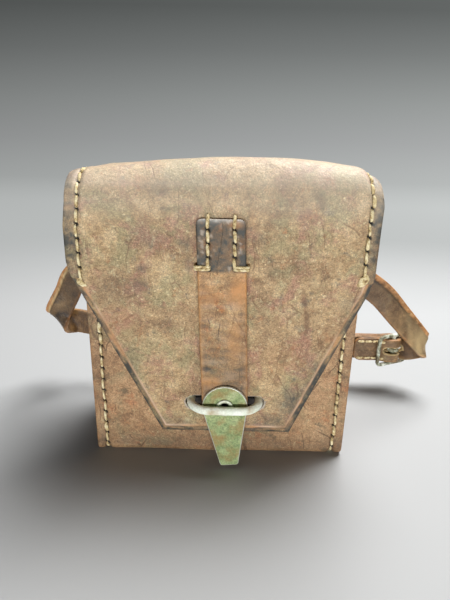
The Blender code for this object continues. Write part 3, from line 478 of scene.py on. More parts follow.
def withEdges(places, radius):
    # Adds the round-over's rows near both ends of a list of places
    first, last = places[0], places[-1]
    steps = edgeSteps(radius)
    middle = [p for p in places if first + steps[-1] * 1.6 < p < last - steps[-1] * 1.6]
    return np.array([first + s for s in steps] + middle + [last - s for s in reversed(steps)])


def slits(x, down):
    # A slanting awl slit: 1 where the leather is cut, fading out at its border
    long = (x + down) * math.sqrt(0.5) / sewing["slitLong"]
    short = (x - down) * math.sqrt(0.5) / sewing["slitShort"]
    return np.exp(-(long ** 2 + short ** 2) ** 1.5)


def spots(x, height, places):
    # Soft oval spots, each (x, height, half width, half height, strength) in millimetres
    total = np.zeros_like(x)
    for px, pz, rx, rz, strength in places:
        away = ((x / mm - px) / rx) ** 2 + ((height / mm - pz) / rz) ** 2
        total = np.maximum(total, strength * np.exp(-away ** 1.5))
    return total


# Thread and its bed, for every seam
# The dark value paints the awl slits almost black: painted shade inside the holes
sewing = {"thread": 1.25 * mm, "groove": 1.3 * mm, "rise": 0.25 * mm, "hole": 0.7 * mm, "soil": 0.3,
          "dark": 2.6, "slitLong": 1.0 * mm, "slitShort": 0.48 * mm}

# Lid: top, back and flap are one hide, which bends over the hinge strip at the back
lid = {
    "thickness": 3.2 * mm, "halfWidth": 57.5 * mm, "back": 28.5 * mm, "front": -30.4 * mm, "top": 121.0 * mm,
    "frontBend": 10.5 * mm, "backBend": 5.0 * mm, "stripBottom": 92.0 * mm, "stripHalf": 52.0 * mm,
    "wingBottom": 81.0 * mm, "wingLeft": 84.0 * mm, "wingRight": 80.5 * mm, "topCorner": 110.5 * mm,
    "halfLeft": 58.8 * mm, "halfRight": 57.4 * mm, "flapBottom": 14.4 * mm, "tipHalf": 26.85 * mm,
    "tipShift": 2.4 * mm, "ease": 3.0 * mm, "easeDeep": 0.45 * mm, "crown": 4.0 * mm, "edge": 0.9 * mm,
    "seamInset": 4.8 * mm, "pitch": 5.3 * mm, "seamLeft": 5.0 * mm, "seamRight": 4.3 * mm,
    "seamLowLeft": 79.8 * mm, "seamLowRight": 83.0 * mm, "seamStart": 12.0 * mm, "bevel": 3.4 * mm,
    "bevelDeep": 0.6 * mm, "ridge": 0.35 * mm, "ridgeWidth": 0.42 * mm, "groove": 0.35 * mm,
    "grooveOnTop": 0.7 * mm, "wave": 0.5 * mm, "waveWidth": 26 * mm, "ripple": 0.12 * mm,
    "rippleWidth": 9 * mm, "underStrap": 0.15 * mm, "slotX": 1.8 * mm, "slotZ": 28.5 * mm,
    "slotHalf": 16.4 * mm, "slotHigh": 3.4 * mm, "hinge": 114.15 * mm, "hingeBlend": 3.0 * mm,
}
sag = {"from": 104.0 * mm, "over": 14.0 * mm, "shoulder": 49.0 * mm, "shoulderWidth": 8.5 * mm,
       "left": 2.0 * mm, "right": 3.4 * mm, "lean": 0.9 * mm, "leanTurn": 0.78}
profile = [(lid["back"], lid["stripBottom"]), (lid["back"], lid["top"] - lid["backBend"])]
profile += arc((lid["back"] - lid["backBend"], lid["top"] - lid["backBend"]), lid["backBend"], 0, 90, 12)[1:]
profile += arc((lid["front"] + lid["frontBend"], lid["top"] - lid["frontBend"]), lid["frontBend"],
               90, 180, 20)
profile += [(lid["front"], lid["flapBottom"])]
lidLine, lidPlaces = resample(profile, 0.1 * mm)


def lidPoint(place):
    return np.interp(place, lidPlaces, lidLine[:, 0]), np.interp(place, lidPlaces, lidLine[:, 1])


def placeOnFlap(z):
    return lidPlaces[-1] - (z - lid["flapBottom"])


def lidHalf(place, z, side):
    # Half width to the left (-1) or right (1); below the wings the flap tapers to its tip
    flap = place > placeOnFlap(lid["topCorner"])
    low = lid["wingLeft"] if side < 0 else lid["wingRight"]
    wide = lid["halfLeft"] if side < 0 else lid["halfRight"]
    share = unit((low - z) / (low - lid["flapBottom"]))
    tip = lid["tipHalf"] + side * lid["tipShift"]
    ease = unit((low + lid["ease"] - z) / (2 * lid["ease"]))
    half = wide + (tip - wide) * share - lid["easeDeep"] * ease * (1 - ease) * 4
    flare = lid["halfWidth"] + (wide - lid["halfWidth"]) * unit((lid["topCorner"] - z) / (10 * mm))
    strip = place < lid["top"] - lid["backBend"] - 2 * mm - lid["stripBottom"]
    flapHalf = np.where(z < low + lid["ease"], half, flare)
    return np.where(strip, lid["stripHalf"], np.where(flap, flapHalf, lid["halfWidth"]))


def topSag(x, z):
    # The lid's shoulders droop, the right one more, and the crown leans to the right
    high = unit((z - sag["from"]) / sag["over"])
    over = unit((np.abs(x) - sag["shoulder"]) / sag["shoulderWidth"])
    droop = np.where(x < 0, sag["left"], sag["right"]) * over ** 2
    lean = sag["lean"] * np.sin(np.clip(x / lid["halfWidth"], -1, 1) * np.pi * sag["leanTurn"])
    return high ** 2 * (3 - 2 * high) * (lean * (1 - over) - droop)


def columnsFor(seam, seamWidth=1.6 * mm, fine=0.4 * mm, coarse=2.2 * mm, half=57.5 * mm, radius=0.9 * mm):
    # Distances from the rim to the middle, fine at the rim and along the seam
    places = edgeSteps(radius)
    x = radius + 0.5 * mm
    while x < half:
        places.append(x)
        near = abs(x - seam) < seamWidth
        x += fine if near else min(coarse, max(fine, abs(abs(x - seam) - seamWidth) * 0.5 + fine))
    return places


rim = columnsFor(lid["seamInset"], 2.2 * mm)
edgeCount = sum(1 for d in rim if d < 9 * mm)  # these keep their distance from the rim, the rest stretch


def lidSurface(places):
    y, z = lidPoint(places)
    sides = []
    for side in (-1, 1):
        half = lidHalf(places, z, side)
        out = []
        for j, d in enumerate(rim):
            inner = (d - rim[edgeCount - 1]) / (lid["halfWidth"] - rim[edgeCount - 1])
            out.append(half - d if j < edgeCount else (half - rim[edgeCount - 1]) * (1 - inner))
        sides.append((half, np.stack(out, 1)))
    (halfLeft, left), (halfRight, right) = sides
    x = np.concatenate([-left, np.zeros((len(places), 1)), right[:, ::-1]], 1)
    u = x / lid["halfWidth"]
    depth = unit((y - lid["front"]) / (lid["back"] - lid["front"]))
    onTop = z > lid["top"] - lid["frontBend"] - 1 * mm
    rise = lid["crown"] * np.minimum(1.0, 1.6 * np.sin(np.pi * depth)) * onTop
    zAll = z[:, None] + rise[:, None] * unit(1 - u * u)
    zAll = zAll + topSag(x, zAll)
    edges = np.minimum(x + halfLeft[:, None], halfRight[:, None] - x)
    return np.stack([x, spread(y, x), zAll], -1), x, spread(places, x), edges


def lidRows():
    places = list(np.arange(0.0, lidPlaces[-1], 0.4 * mm)) + [lidPlaces[-1]]
    places = withEdges(places, lid["edge"])
    bendPlace = lid["top"] - lid["stripBottom"] + 6 * mm
    return places, int(np.argmin(np.abs(places - bendPlace)))


places, lidSplit = lidRows()
points, across, along, edges = lidSurface(places)
edges = np.minimum(edges, np.minimum(along - along[0, 0], along[-1, 0] - along))
lidZ = points[..., 2]
onFlap = along > placeOnFlap(lid["wingBottom"])
lidSeamStart = lid["top"] - lid["stripBottom"] + lid["seamStart"]


def lidSeamLine(place, z, side):
    # The seam's distance from the middle: it keeps its line where the flap begins to taper
    wing, inset = (lid["wingLeft"], lid["seamLeft"]) if side < 0 else (lid["wingRight"], lid["seamRight"])
    return lidHalf(place, np.maximum(z, wing + lid["ease"]), side) - inset


lidSeamEnds = {}
hole, groove = np.zeros_like(across), np.zeros_like(across)
for side, low in ((-1, lid["seamLowLeft"]), (1, lid["seamLowRight"])):
    lidSeamEnds[side] = placeOnFlap(low)
    length = lidSeamEnds[side] - lidSeamStart
    step = length / int(round(length / lid["pitch"]))
    here = (along > lidSeamStart - 2 * mm) & (along < lidSeamEnds[side] + 2 * mm)
    phase = np.mod(along - lidSeamStart + step / 2, step) - step / 2
    beyond = side * across - lidSeamLine(places, lidPoint(places)[1], side)[:, None]
    hole += slits(side * beyond, phase) * here
    groove += bump(beyond, sewing["groove"]) * here

# Shape: waves, the seams' grooves, and the flap's bevelled border with a ridge along it
bevel = unit((lid["bevel"] - edges) / lid["bevel"]) * onFlap
ridge = bump(edges - lid["bevel"], lid["ridgeWidth"]) * onFlap
onTop = unit((lidZ - 112 * mm) / (4 * mm)) * (1 - unit((along - placeOnFlap(117 * mm)) / (6 * mm)))
wave = softNoise(across, along, lid["waveWidth"], 2.0)
ripple = softNoise(across, along, lid["rippleWidth"], 5.0)
straight = points.copy()  # the rows' steps in width don't turn the normals
straight[..., 0] = points[np.argmax(lidZ[:, 0]), :, 0]
normals = surfaceNormals(straight)
underStrap = bump(np.maximum(np.abs(across) - 11 * mm, 0), 4 * mm) * (along > placeOnFlap(108 * mm))
relief = wave * lid["wave"] * unit(edges / (8 * mm)) + ripple * lid["ripple"]
relief = relief * (1 - underStrap) - lid["underStrap"] * underStrap
relief -= groove * (lid["groove"] + lid["grooveOnTop"] * onTop) + hole * sewing["hole"]
relief += ridge * lid["ridge"] - bevel * (lid["bevelDeep"] + 0.5 * mm * ripple)
threadLevel = relief + groove * (1 - onTop) * sewing["rise"] + hole * sewing["hole"]
lidGrid = (points + normals * threadLevel[..., None], normals, across, along)
points = points + normals * relief[..., None]
straight += normals * relief[..., None]

# Marks: the largest stains and rust spots in their places, (x, height, half width, half height, strength)
marks = np.zeros(points.shape[:2] + (4,))
height = lid["flapBottom"] + lidPlaces[-1] - along  # on the flap this is the height above the base
stains = spots(across, height, [
    (-22.8, 115.0, 4.2, 3.0, 0.55), (-20.9, 107.3, 1.7, 1.2, 0.95), (-29.9, 85.0, 1.9, 1.6, 0.8),
    (-31.5, 79.0, 4.0, 3.0, 0.45), (-13.4, 95.0, 3.4, 2.6, 0.6), (-12.6, 88.0, 1.6, 4.6, 0.5),
    (13.3, 96.9, 3.0, 2.4, 0.5), (19.0, 84.5, 2.6, 2.4, 0.35), (33.4, 112.6, 2.4, 2.0, 0.7),
    (35.2, 110.0, 1.7, 2.6, 0.8), (-56.2, 105.0, 3.0, 3.4, 0.75), (-56.5, 93.0, 3.4, 5.6, 0.75),
    (57.2, 104.0, 2.2, 9.0, 0.6), (57.0, 90.0, 2.0, 5.0, 0.5), (38.0, 41.0, 6.0, 9.0, 0.5),
    (32.0, 29.0, 9.0, 8.0, 0.75), (22.0, 20.0, 10.0, 4.6, 0.6), (-20.0, 19.0, 8.0, 3.4, 0.45),
    (-36.0, 45.0, 3.0, 9.0, 0.4), (8.4, 101.1, 0.6, 0.6, 1.0), (-40.0, 76.0, 9.0, 7.0, 0.25),
    (-28.0, 96.0, 8.0, 5.0, 0.25), (26.0, 108.0, 8.0, 4.0, 0.2), (50.0, 70.0, 5.0, 8.0, 0.3)])
rusty = spots(across, height, [
    (-29.7, 117.9, 2.6, 1.8, 0.9), (-44.6, 104.7, 3.2, 2.2, 0.4), (-6.0, 112.0, 2.2, 5.0, 0.35),
    (10.4, 104.0, 1.4, 3.0, 0.5), (-55.8, 107.6, 2.0, 1.2, 0.6), (-40.0, 62.0, 7.0, 9.0, 0.3),
    (44.0, 58.0, 6.0, 8.0, 0.25), (24.0, 50.0, 8.0, 6.0, 0.25)])
flecks = softNoise(across, along, 2.3 * mm, 17.0)
streak = softNoise(edges * 3.2, along + np.abs(across) * 0.6, 5 * mm, 19.0)
sewn = ~onFlap & (along > lidSeamStart - 2 * mm)
outside = unit((lid["seamInset"] - 0.8 * mm - edges) / (1.2 * mm)) * sewn
fray = unit(streak * 2.4 + flecks * 0.6 - 0.1) * unit((lid["bevel"] - edges) / (0.6 * mm)) * onFlap
fray *= unit((edges - lid["edge"]) / (0.6 * mm))
shoulder = bump(along - placeOnFlap(113 * mm), 9 * mm)
marks[..., 0] = unit(rusty * 0.6 + ridge * (0.8 + 0.5 * ripple) + fray * 0.8)
# Green: stains, the seams' grimy margins and grooves, the flap's bevelled border painted darker (grime with
# painted shade), its rim darker still as painted shade along the edge, and the awl holes painted almost black
# as painted shade inside them
marks[..., 1] = unit(stains * (1 + 0.5 * flecks) + (bevel > 0) * (0.5 - streak * 0.5) * (1 - fray)
                     + groove * sewing["soil"] + outside * (0.5 + flecks * 0.6)) + hole * sewing["dark"]
marks[..., 1] += bump(edges, 1.1 * mm) * onFlap * 0.9
# Alpha: the lid's top and its front bend are painted paler, bleaching together with painted highlight
marks[..., 3] = shoulder * 0.25 + onTop * 0.22 + ridge * unit(ripple + 0.35) * 0.55
sheetArgs = dict(thickness=lid["thickness"], across=across, along=along, edges=edges, material=lidHide,
                 marks=marks, radius=lid["edge"], normals=surfaceNormals(straight))
hingePiece = leatherSheet("hinge_hide", points, rows=slice(0, lidSplit + 1), **sheetArgs)
lidPiece = leatherSheet("lid_hide", points, rows=slice(lidSplit, None), **sheetArgs)
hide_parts("hinge_strip")
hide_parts("lid_shell")
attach(lidPiece, "lid")
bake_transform(hingePiece)
print("lid made")


# The staple's slot in the flap: a long hole with round ends

def stadium(centerX, centerZ, halfWidth, halfHigh, steps=10):
    straight = halfWidth - halfHigh
    points = arc((centerX + straight, centerZ), halfHigh, -90, 90, steps)
    return points + arc((centerX - straight, centerZ), halfHigh, 90, 270, steps)


def cutThrough(piece, outline, frontY, backY, wallMarks=(0.1, 2.3, 0.0, 0.0)):
    # By default the walls of the cut are painted almost black, painted shade inside the hole
    verts = [(x, frontY, z) for x, z in outline] + [(x, backY, z) for x, z in outline]
    count = len(outline)
    faces = [list(range(count))[::-1], [count + i for i in range(count)]]
    faces += [[i, (i + 1) % count, count + (i + 1) % count, count + i] for i in range(count)]
    cutter = meshPiece("cutter", verts, faces, piece.data.materials[0],
                       marks=np.tile(wallMarks, (len(verts), 1)))
    faceOutward(cutter)
    hole = piece.modifiers.new("slot", "BOOLEAN")
    hole.operation = "DIFFERENCE"
    hole.solver = "EXACT"
    hole.object = cutter
    applyModifiers(piece)
    bpy.data.objects.remove(cutter, do_unlink=True)


cutThrough(lidPiece, stadium(lid["slotX"], lid["slotZ"], lid["slotHalf"], lid["slotHigh"]),
           lid["front"] - 3 * mm, lid["front"] + 6 * mm)


# Case: one hide wrapped from the front's rim under the base to the back's rim

case = {
    "half": 54.0 * mm, "front": -25.0 * mm, "back": 25.0 * mm, "top": 110.5 * mm, "bend": 3.6 * mm,
    "thickness": 3.5 * mm, "seamInset": 4.6 * mm, "pitch": 5.15 * mm, "seamStart": 8.0 * mm,
    "groove": 0.35 * mm, "grooveUnder": 0.75 * mm, "wave": 0.3 * mm,
}
wrapProfile = [(case["front"], case["top"]), (case["front"], case["bend"])]
wrapProfile += arc((case["front"] + case["bend"], case["bend"]), case["bend"], 180, 270, 14)[1:]
wrapProfile += arc((case["back"] - case["bend"], case["bend"]), case["bend"], 270, 360, 14)
wrapProfile += [(case["back"], case["top"])]
wrapLine, wrapPlaces = resample(wrapProfile, 0.1 * mm)
wrapRim = columnsFor(case["seamInset"], half=case["half"])


def wrapSurface():
    places = withEdges(list(np.arange(0.0, wrapPlaces[-1], 0.45 * mm)) + [wrapPlaces[-1]], 0.9 * mm)
    y = np.interp(places, wrapPlaces, wrapLine[:, 0])
    z = np.interp(places, wrapPlaces, wrapLine[:, 1])
    left = -case["half"] + np.array(wrapRim)
    x = np.concatenate([left, [0.0], -left[::-1]])
    grid = np.meshgrid(x, places)
    points = np.stack([grid[0], spread(y, grid[0]), spread(z, grid[0])], -1)
    rims = np.minimum(case["half"] - np.abs(grid[0]), np.minimum(grid[1] - places[0], places[-1] - grid[1]))
    return points, grid[0], grid[1], rims


points, across, along, edges = wrapSurface()
beyond = np.abs(across) - case["half"] + case["seamInset"]
phase = np.mod(along - case["seamStart"] + case["pitch"] / 2, case["pitch"]) - case["pitch"] / 2
hole = slits(np.sign(across) * beyond, phase) * (np.abs(across) > 1 * mm)
under = unit((case["bend"] + 1 * mm - points[..., 2]) / (2 * mm))  # the seams lie in deeper grooves there
groove = bump(beyond, sewing["groove"])
normals = surfaceNormals(points)
relief = softNoise(across, along, 24 * mm, 11.0) * case["wave"] * unit(edges / (8 * mm))
relief -= groove * (case["groove"] + case["grooveUnder"] * under) + hole * sewing["hole"]
threadLevel = relief + groove * (1 - under) * sewing["rise"] + hole * sewing["hole"]
caseGrid = (points + normals * threadLevel[..., None], normals, across, along)
points = points + normals * relief[..., None]
marks = np.zeros(points.shape[:2] + (4,))
height = case["top"] - along
flecks = softNoise(across, along, 3.0 * mm, 13.0)
paintedBaseShade = bump(height - 4 * mm, 7 * mm) * 0.45  # painted shade: the front is darker towards its base
# Painted shade: the front behind the staple's slot, and the awl holes, are painted almost black
paintedSlotShade = spots(across, height, [(1.8, 29.0, 20.0, 6.5, 1.0)])
marks[..., 0] = unit(np.exp(-edges / (0.9 * mm)) * (0.35 + flecks))
marks[..., 1] = unit(paintedBaseShade + groove * sewing["soil"] + np.exp(-edges / (3 * mm)) * 0.3)
marks[..., 1] += hole * sewing["dark"] + paintedSlotShade * 3
wrapPiece = leatherSheet("case_hide", points, case["thickness"], across, along, edges, caseHide, marks)
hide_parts("body_wrap")
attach(wrapPiece, "case")
print("case made")


# Stitches: waxed linen thread between awl holes, drawn along a row on a sheet's face

def sampleRow(grid, x, place):
    # A point and its normal on a sheet, at that place across and along it
    base, facing, across, along = grid
    rows = along[:, 0]
    i = int(np.clip(np.searchsorted(rows, place) - 1, 0, len(rows) - 2))
    t = (place - rows[i]) / (rows[i + 1] - rows[i])
    found = []
    for values in (base, facing):
        a, b = [np.array([np.interp(x, across[k], values[k][:, n]) for n in range(3)]) for k in (i, i + 1)]
        found.append(Vector(a * (1 - t) + b * t))
    return found[0], found[1].normalized()


def stitch(grid, start, end, width, lean=0.0):
    # One stitch from hole to hole; start and end are (across, along)
    path, radii = [], []
    for share, lift, size in ((0.07, -0.75, 0.5), (0.12, -0.1, 0.78), (0.22, 0.22, 1.0), (0.4, 0.34, 1.06),
                              (0.6, 0.34, 1.04), (0.78, 0.2, 1.0), (0.88, -0.1, 0.78), (0.93, -0.75, 0.5)):
        x = start[0] + (end[0] - start[0]) * share + lean * (share - 0.5)
        point, facing = sampleRow(grid, x, start[1] + (end[1] - start[1]) * share)
        path.append(point + facing * lift * width * 0.8)
        radii.append(width / 2 * size)
    point, facing = sampleRow(grid, start[0], (start[1] + end[1]) / 2)
    return tube(path, radii, 8, squash=0.75, up=facing)


def seam(grid, lineAt, first, last, pitch, lean, jitter=0.3 * mm):
    made = []
    count = int(round((last - first) / pitch))
    for i in range(count):
        a, b = first + (last - first) * i / count, first + (last - first) * (i + 1) / count
        start = (lineAt(a) + dice.uniform(-jitter, jitter), a)
        end = (lineAt(b) + dice.uniform(-jitter, jitter), b)
        made.append(stitch(grid, start, end, sewing["thread"] * dice.uniform(0.72, 1.2), lean))
    return made


def lidSeamAt(side):
    def lineAt(place):
        height = np.array([lidPoint(place)[1]])
        return float(side * lidSeamLine(np.array([place]), height, side)[0])
    return lineAt


def knot(grid, side, x, place, wide):
    # A rounded lump of thread, flattened onto the leather
    middle, facing = sampleRow(grid, x, place)
    turns = np.linspace(0.15, math.pi - 0.15, 9)
    middle = middle + facing * 0.1 * mm
    path = [middle + Vector((side * 0.3 * mm * math.cos(a) * k, 0, math.cos(a) * 1.25 * wide))
            for k, a in enumerate(turns)]
    radii = [wide * math.sin(a) * (1 + 0.12 * math.sin(2.3 * k)) for k, a in enumerate(turns)]
    return tube(path, radii, 14, squash=0.42, up=facing)


dice = random.Random(7)
lidThreads = []
for side in (-1, 1):
    lidThreads += seam(lidGrid, lidSeamAt(side), lidSeamStart, lidSeamEnds[side], lid["pitch"], 0.35 * mm)
for side, wide in ((-1, 1.2 * mm), (1, 1.8 * mm)):
    end = lidSeamEnds[side] + 0.4 * wide
    lidThreads.append(knot(lidGrid, side, lidSeamAt(side)(end), end, wide))
lidStitches = joinTubes("lid_stitches", lidThreads, thread)
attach(lidStitches, "lid")

caseThreads = []
for side in (-1, 1):
    line = side * (case["half"] - case["seamInset"])
    caseThreads += seam(caseGrid, lambda place, line=line: line, case["seamStart"],
                        wrapPlaces[-1] - case["seamStart"], case["pitch"], 0.3 * mm)
caseStitches = joinTubes("case_stitches", caseThreads, thread)
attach(caseStitches, "case")
print("seams sewn")


# Walls, loops and keeper: thick leather softened from their solids, with rubbed corners

wall = {"smoothing": 4, "calming": 6, "corner": 0.22 * mm, "wave": 0.22 * mm, "waveWidth": 14 * mm,
        "shrink": 0.1 * mm, "wearWidth": 5 * mm}


def softened(name, node, voxel, material, body, fleshSide=None, order=(1, 2, 0)):
    shape = bmesh.new()
    shape.from_mesh(nodes[node].data)
    bmesh.ops.remove_doubles(shape, verts=shape.verts, dist=0.005 * mm)
    mesh = bpy.data.meshes.new(name)
    shape.to_mesh(mesh)
    shape.free()
    piece = bpy.data.objects.new(name, mesh)
    bpy.context.scene.collection.objects.link(piece)
    voxels = piece.modifiers.new("voxels", "REMESH")
    voxels.mode = "VOXEL"
    voxels.voxel_size = voxel
    ease = piece.modifiers.new("ease", "SMOOTH")
    ease.factor = 0.5
    ease.iterations = wall["smoothing"]
    applyModifiers(piece)
    done = piece.data
    done.shade_smooth()
    done.materials.clear()
    done.materials.append(material)
    count = len(done.vertices)
    co = np.empty(count * 3)
    done.vertices.foreach_get("co", co)
    co = co.reshape(-1, 3)
    pairs = np.empty(len(done.edges) * 2, int)
    done.edges.foreach_get("vertices", pairs)
    pairs = pairs.reshape(-1, 2)
    facing = np.array([v.normal for v in done.vertices])
    calm = co.copy()  # where the shape would lie without its corners
    neighbours = np.bincount(pairs.ravel(), minlength=count)[:, None]
    for _ in range(wall["calming"]):
        total = np.zeros_like(calm)
        np.add.at(total, pairs[:, 0], calm[pairs[:, 1]])
        np.add.at(total, pairs[:, 1], calm[pairs[:, 0]])
        calm = total / neighbours
    convex = np.einsum("ij,ij->i", co - calm, facing)
    wave = np.array([noise.noise(Vector(p) / wall["waveWidth"]) for p in co])
    co = co + facing * (wave * wall["wave"] - wall["shrink"])[:, None]
    done.vertices.foreach_set("co", co.ravel())
    worn = np.array([noise.noise(Vector(p) / wall["wearWidth"] + Vector((7, 3, 1))) for p in co])
    corner = unit(convex / wall["corner"])
    marks = np.zeros((count, 4))
    marks[:, 0] = corner * unit(0.35 + worn)
    marks[:, 1] = corner * unit(0.2 - worn)
    if fleshSide is not None:
        marks[:, 2] = unit((facing @ np.array(fleshSide) - 0.3) / 0.3)
    storeMarks(done, co[:, list(order)], marks)
    done.update()
    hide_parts(node)
    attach(piece, body)
    return piece


for side, word in ((-1, "left"), (1, "right")):
    inward = (-side, 0, 0)
    softened(f"side_wall_{word}", f"gusset_{word}", 0.9 * mm, wallHide, "case", inward)
    softened(f"lid_side_{word}", f"lid_wing_{word}", 0.7 * mm, lidHide, "lid", inward)
    softened(f"loop_{word}", f"back_loop_{word}", 0.55 * mm, wallHide, "case",
             order=(0, 2, 1))
softened("keeper_band", "strap_keeper", 0.45 * mm, carryHide, "carrying_strap",
         order=(0, 2, 1))
print("walls, loops and keeper made")


# Closing strap: one strap, sewn to the flap above the thread bars and free below them

strap = {
    "top": 104.4 * mm, "bottom": 21.0 * mm, "fold": 84.3 * mm, "face": -33.5 * mm, "thickness": 2.8 * mm,
    "topHalf": 9.0 * mm, "endHalf": 9.3 * mm, "topX": -1.1 * mm, "rivetX": 1.8 * mm, "rivetZ": 29.5 * mm,
    "corner": 2.0 * mm, "endCorner": 5.6 * mm, "edge": 0.7 * mm, "bow": 0.7 * mm, "rivetHole": 3.1 * mm,
    "seam": 4.8 * mm, "pitch": 5.0 * mm, "firstHole": 3.6 * mm, "stitches": 3, "anchor": 20.0 * mm,
    "wave": 0.15 * mm, "wrinkle": 0.36 * mm, "groove": 0.25 * mm, "grooveWidth": 1.0 * mm,
    "tooled": 0.25 * mm, "tooledInset": 1.9 * mm, "tooledWidth": 0.3 * mm,
}


def strapCentre(z):
    share = (strap["top"] - z) / (strap["top"] - strap["rivetZ"])
    return strap["topX"] + (strap["rivetX"] - strap["topX"]) * share


strapLength = strap["top"] - strap["bottom"]
strapPlaces = withEdges(list(np.arange(0.0, strapLength, 0.6 * mm)) + [strapLength], strap["edge"])
strapZ = strap["top"] - strapPlaces
widening = strapPlaces / (strap["top"] - strap["rivetZ"])
halfs = strap["topHalf"] + (strap["endHalf"] - strap["topHalf"]) * widening
halfs -= roundOver(strapPlaces, strap["corner"]) + roundOver(strapZ - strap["bottom"], strap["endCorner"])
strapRim = columnsFor(4.2 * mm, 1.2 * mm, 0.35 * mm, 1.0 * mm, strap["topHalf"], strap["edge"])
left = np.stack([-halfs + d * np.minimum(1.0, halfs / strap["topHalf"]) for d in strapRim], 1)
x = np.concatenate([left, np.zeros((len(strapPlaces), 1)), -left[:, ::-1]], 1)
across = x + strapCentre(strapZ)[:, None]
along = spread(strapPlaces, x)
free = unit((strap["fold"] - strapZ) / (strap["fold"] - strap["rivetZ"] - 9 * mm))
strapY = strap["face"] - strap["bow"] * np.sin(np.pi * free)
points = np.stack([across, spread(strapY, x), spread(strapZ, x)], -1)
edges = np.minimum(halfs[:, None] - np.abs(x), np.minimum(along, along[-1, 0] - along))
facing = surfaceNormals(points)
strapGrid = (points.copy(), facing, across, along)

# Shape: wrinkles across the free part, the seams' grooves, and a tooled line of dots near its edges
sewn = along < strap["anchor"] - 1.4 * mm
beyond = np.abs(x) - strap["seam"]
phase = np.mod(along - strap["firstHole"] + strap["pitch"] / 2, strap["pitch"]) - strap["pitch"] / 2
hole = slits(np.sign(x) * beyond, phase) * sewn * (np.abs(x) > 1 * mm)
groove = bump(beyond, strap["grooveWidth"]) * sewn
dots = (along > strap["anchor"]) * (0.65 + 0.35 * np.sin(along / (0.25 * mm)))
tooled = bump(edges - strap["tooledInset"], strap["tooledWidth"]) * dots
wrinkle = softNoise(across * 0.35, along, 2.6 * mm, 41.0) * unit((along - strap["anchor"]) / (3 * mm))
relief = softNoise(across, along, 11 * mm, 31.0) * strap["wave"] + wrinkle * strap["wrinkle"]
relief -= groove * strap["groove"] + hole * sewing["hole"] + tooled * strap["tooled"]
points = points + facing * (relief * np.clip(edges / (2 * mm), 0.2, 1.0))[..., None]

# Marks: the sewn part is dark with grease, the free part worn orange in places, and darker downwards; the
# wrinkles are painted darker in their hollows (painted shade) and paler on their crests (painted highlight),
# and the awl holes almost black (painted shade)
marks = np.zeros(points.shape[:2] + (4,))
anchor = unit((19.6 * mm - along) / (0.8 * mm))
orange = spots(across, strap["top"] - along, [
    (5.8, 78.0, 3.4, 6.0, 0.9), (4.0, 103.0, 2.6, 1.6, 0.7), (-5.0, 76.0, 5.0, 4.0, 0.5),
    (-4.0, 40.0, 4.0, 3.0, 0.6), (5.0, 58.0, 3.0, 9.0, 0.45)])
low = unit((along - 24 * mm) / (44 * mm)) * 0.55
flecks = softNoise(across, along, 1.7 * mm, 61.0) + 0.5 * softNoise(across, along, 5 * mm, 67.0)
marks[..., 0] = unit(np.exp(-edges / (0.8 * mm)) * 0.7 * (1 - anchor) + orange)
marks[..., 1] = unit(anchor * (0.85 - flecks * 0.5 + 0.4 * np.exp(-edges / (1.5 * mm))) + low + tooled * 0.7
                     - np.clip(wrinkle, -1, 0) * 1.1 * (1 - anchor)) + hole * sewing["dark"]
marks[..., 3] = unit(np.exp(-along / (0.6 * mm)) * 0.8 + anchor * np.clip(flecks * 1.2 - 0.4, 0, 0.3)
                     + (1 - anchor) * unit(wrinkle) * 0.15)
strapPiece = leatherSheet("closing_strap_hide", points, strap["thickness"], across, along, edges, strapHide,
                          marks, strap["edge"])
rivetCircle = arc((strap["rivetX"], strap["rivetZ"]), strap["rivetHole"], 0, 352.5, 47)
cutThrough(strapPiece, rivetCircle, strap["face"] - 4 * mm, strap["face"] + 6 * mm)
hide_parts("closing_strap", "strap_anchor")
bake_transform(strapPiece)

# The first stitch of each row rises out of the flap, over the strap's end; the rest lie on the strap
firstStitch = [  # height above the strap's end and depth behind its face, in millimetres, and thickness
    (1.5, 3.2, 0.6), (1.35, 1.9, 0.85), (1.0, 0.1, 1.0), (0.3, -0.45, 1.05), (-0.8, -0.5, 1.05),
    (-2.0, -0.45, 1.0), (-2.9, -0.1, 0.8), (-3.3, 0.9, 0.5)]
strapThreads = []
for side in (-1, 1):
    x = strapCentre(95 * mm) + side * strap["seam"]
    path = [(x - 0.4 * mm * k / 7, strap["face"] + deep * mm, strap["top"] + high * mm)
            for k, (high, deep, _) in enumerate(firstStitch)]
    radii = [sewing["thread"] / 2 * size for _, _, size in firstStitch]
    strapThreads.append(tube(path, radii, 8, squash=0.8, up=(0, -1, 0)))
    for i in range(strap["stitches"]):
        first = strap["firstHole"] + strap["pitch"] * i
        strapThreads.append(stitch(strapGrid, (x, first), (x + side * 0.2 * mm, first + strap["pitch"]),
                                   sewing["thread"], 0.5 * mm))
strapStitches = joinTubes("strap_stitches", strapThreads, thread)
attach(strapStitches, "lid")

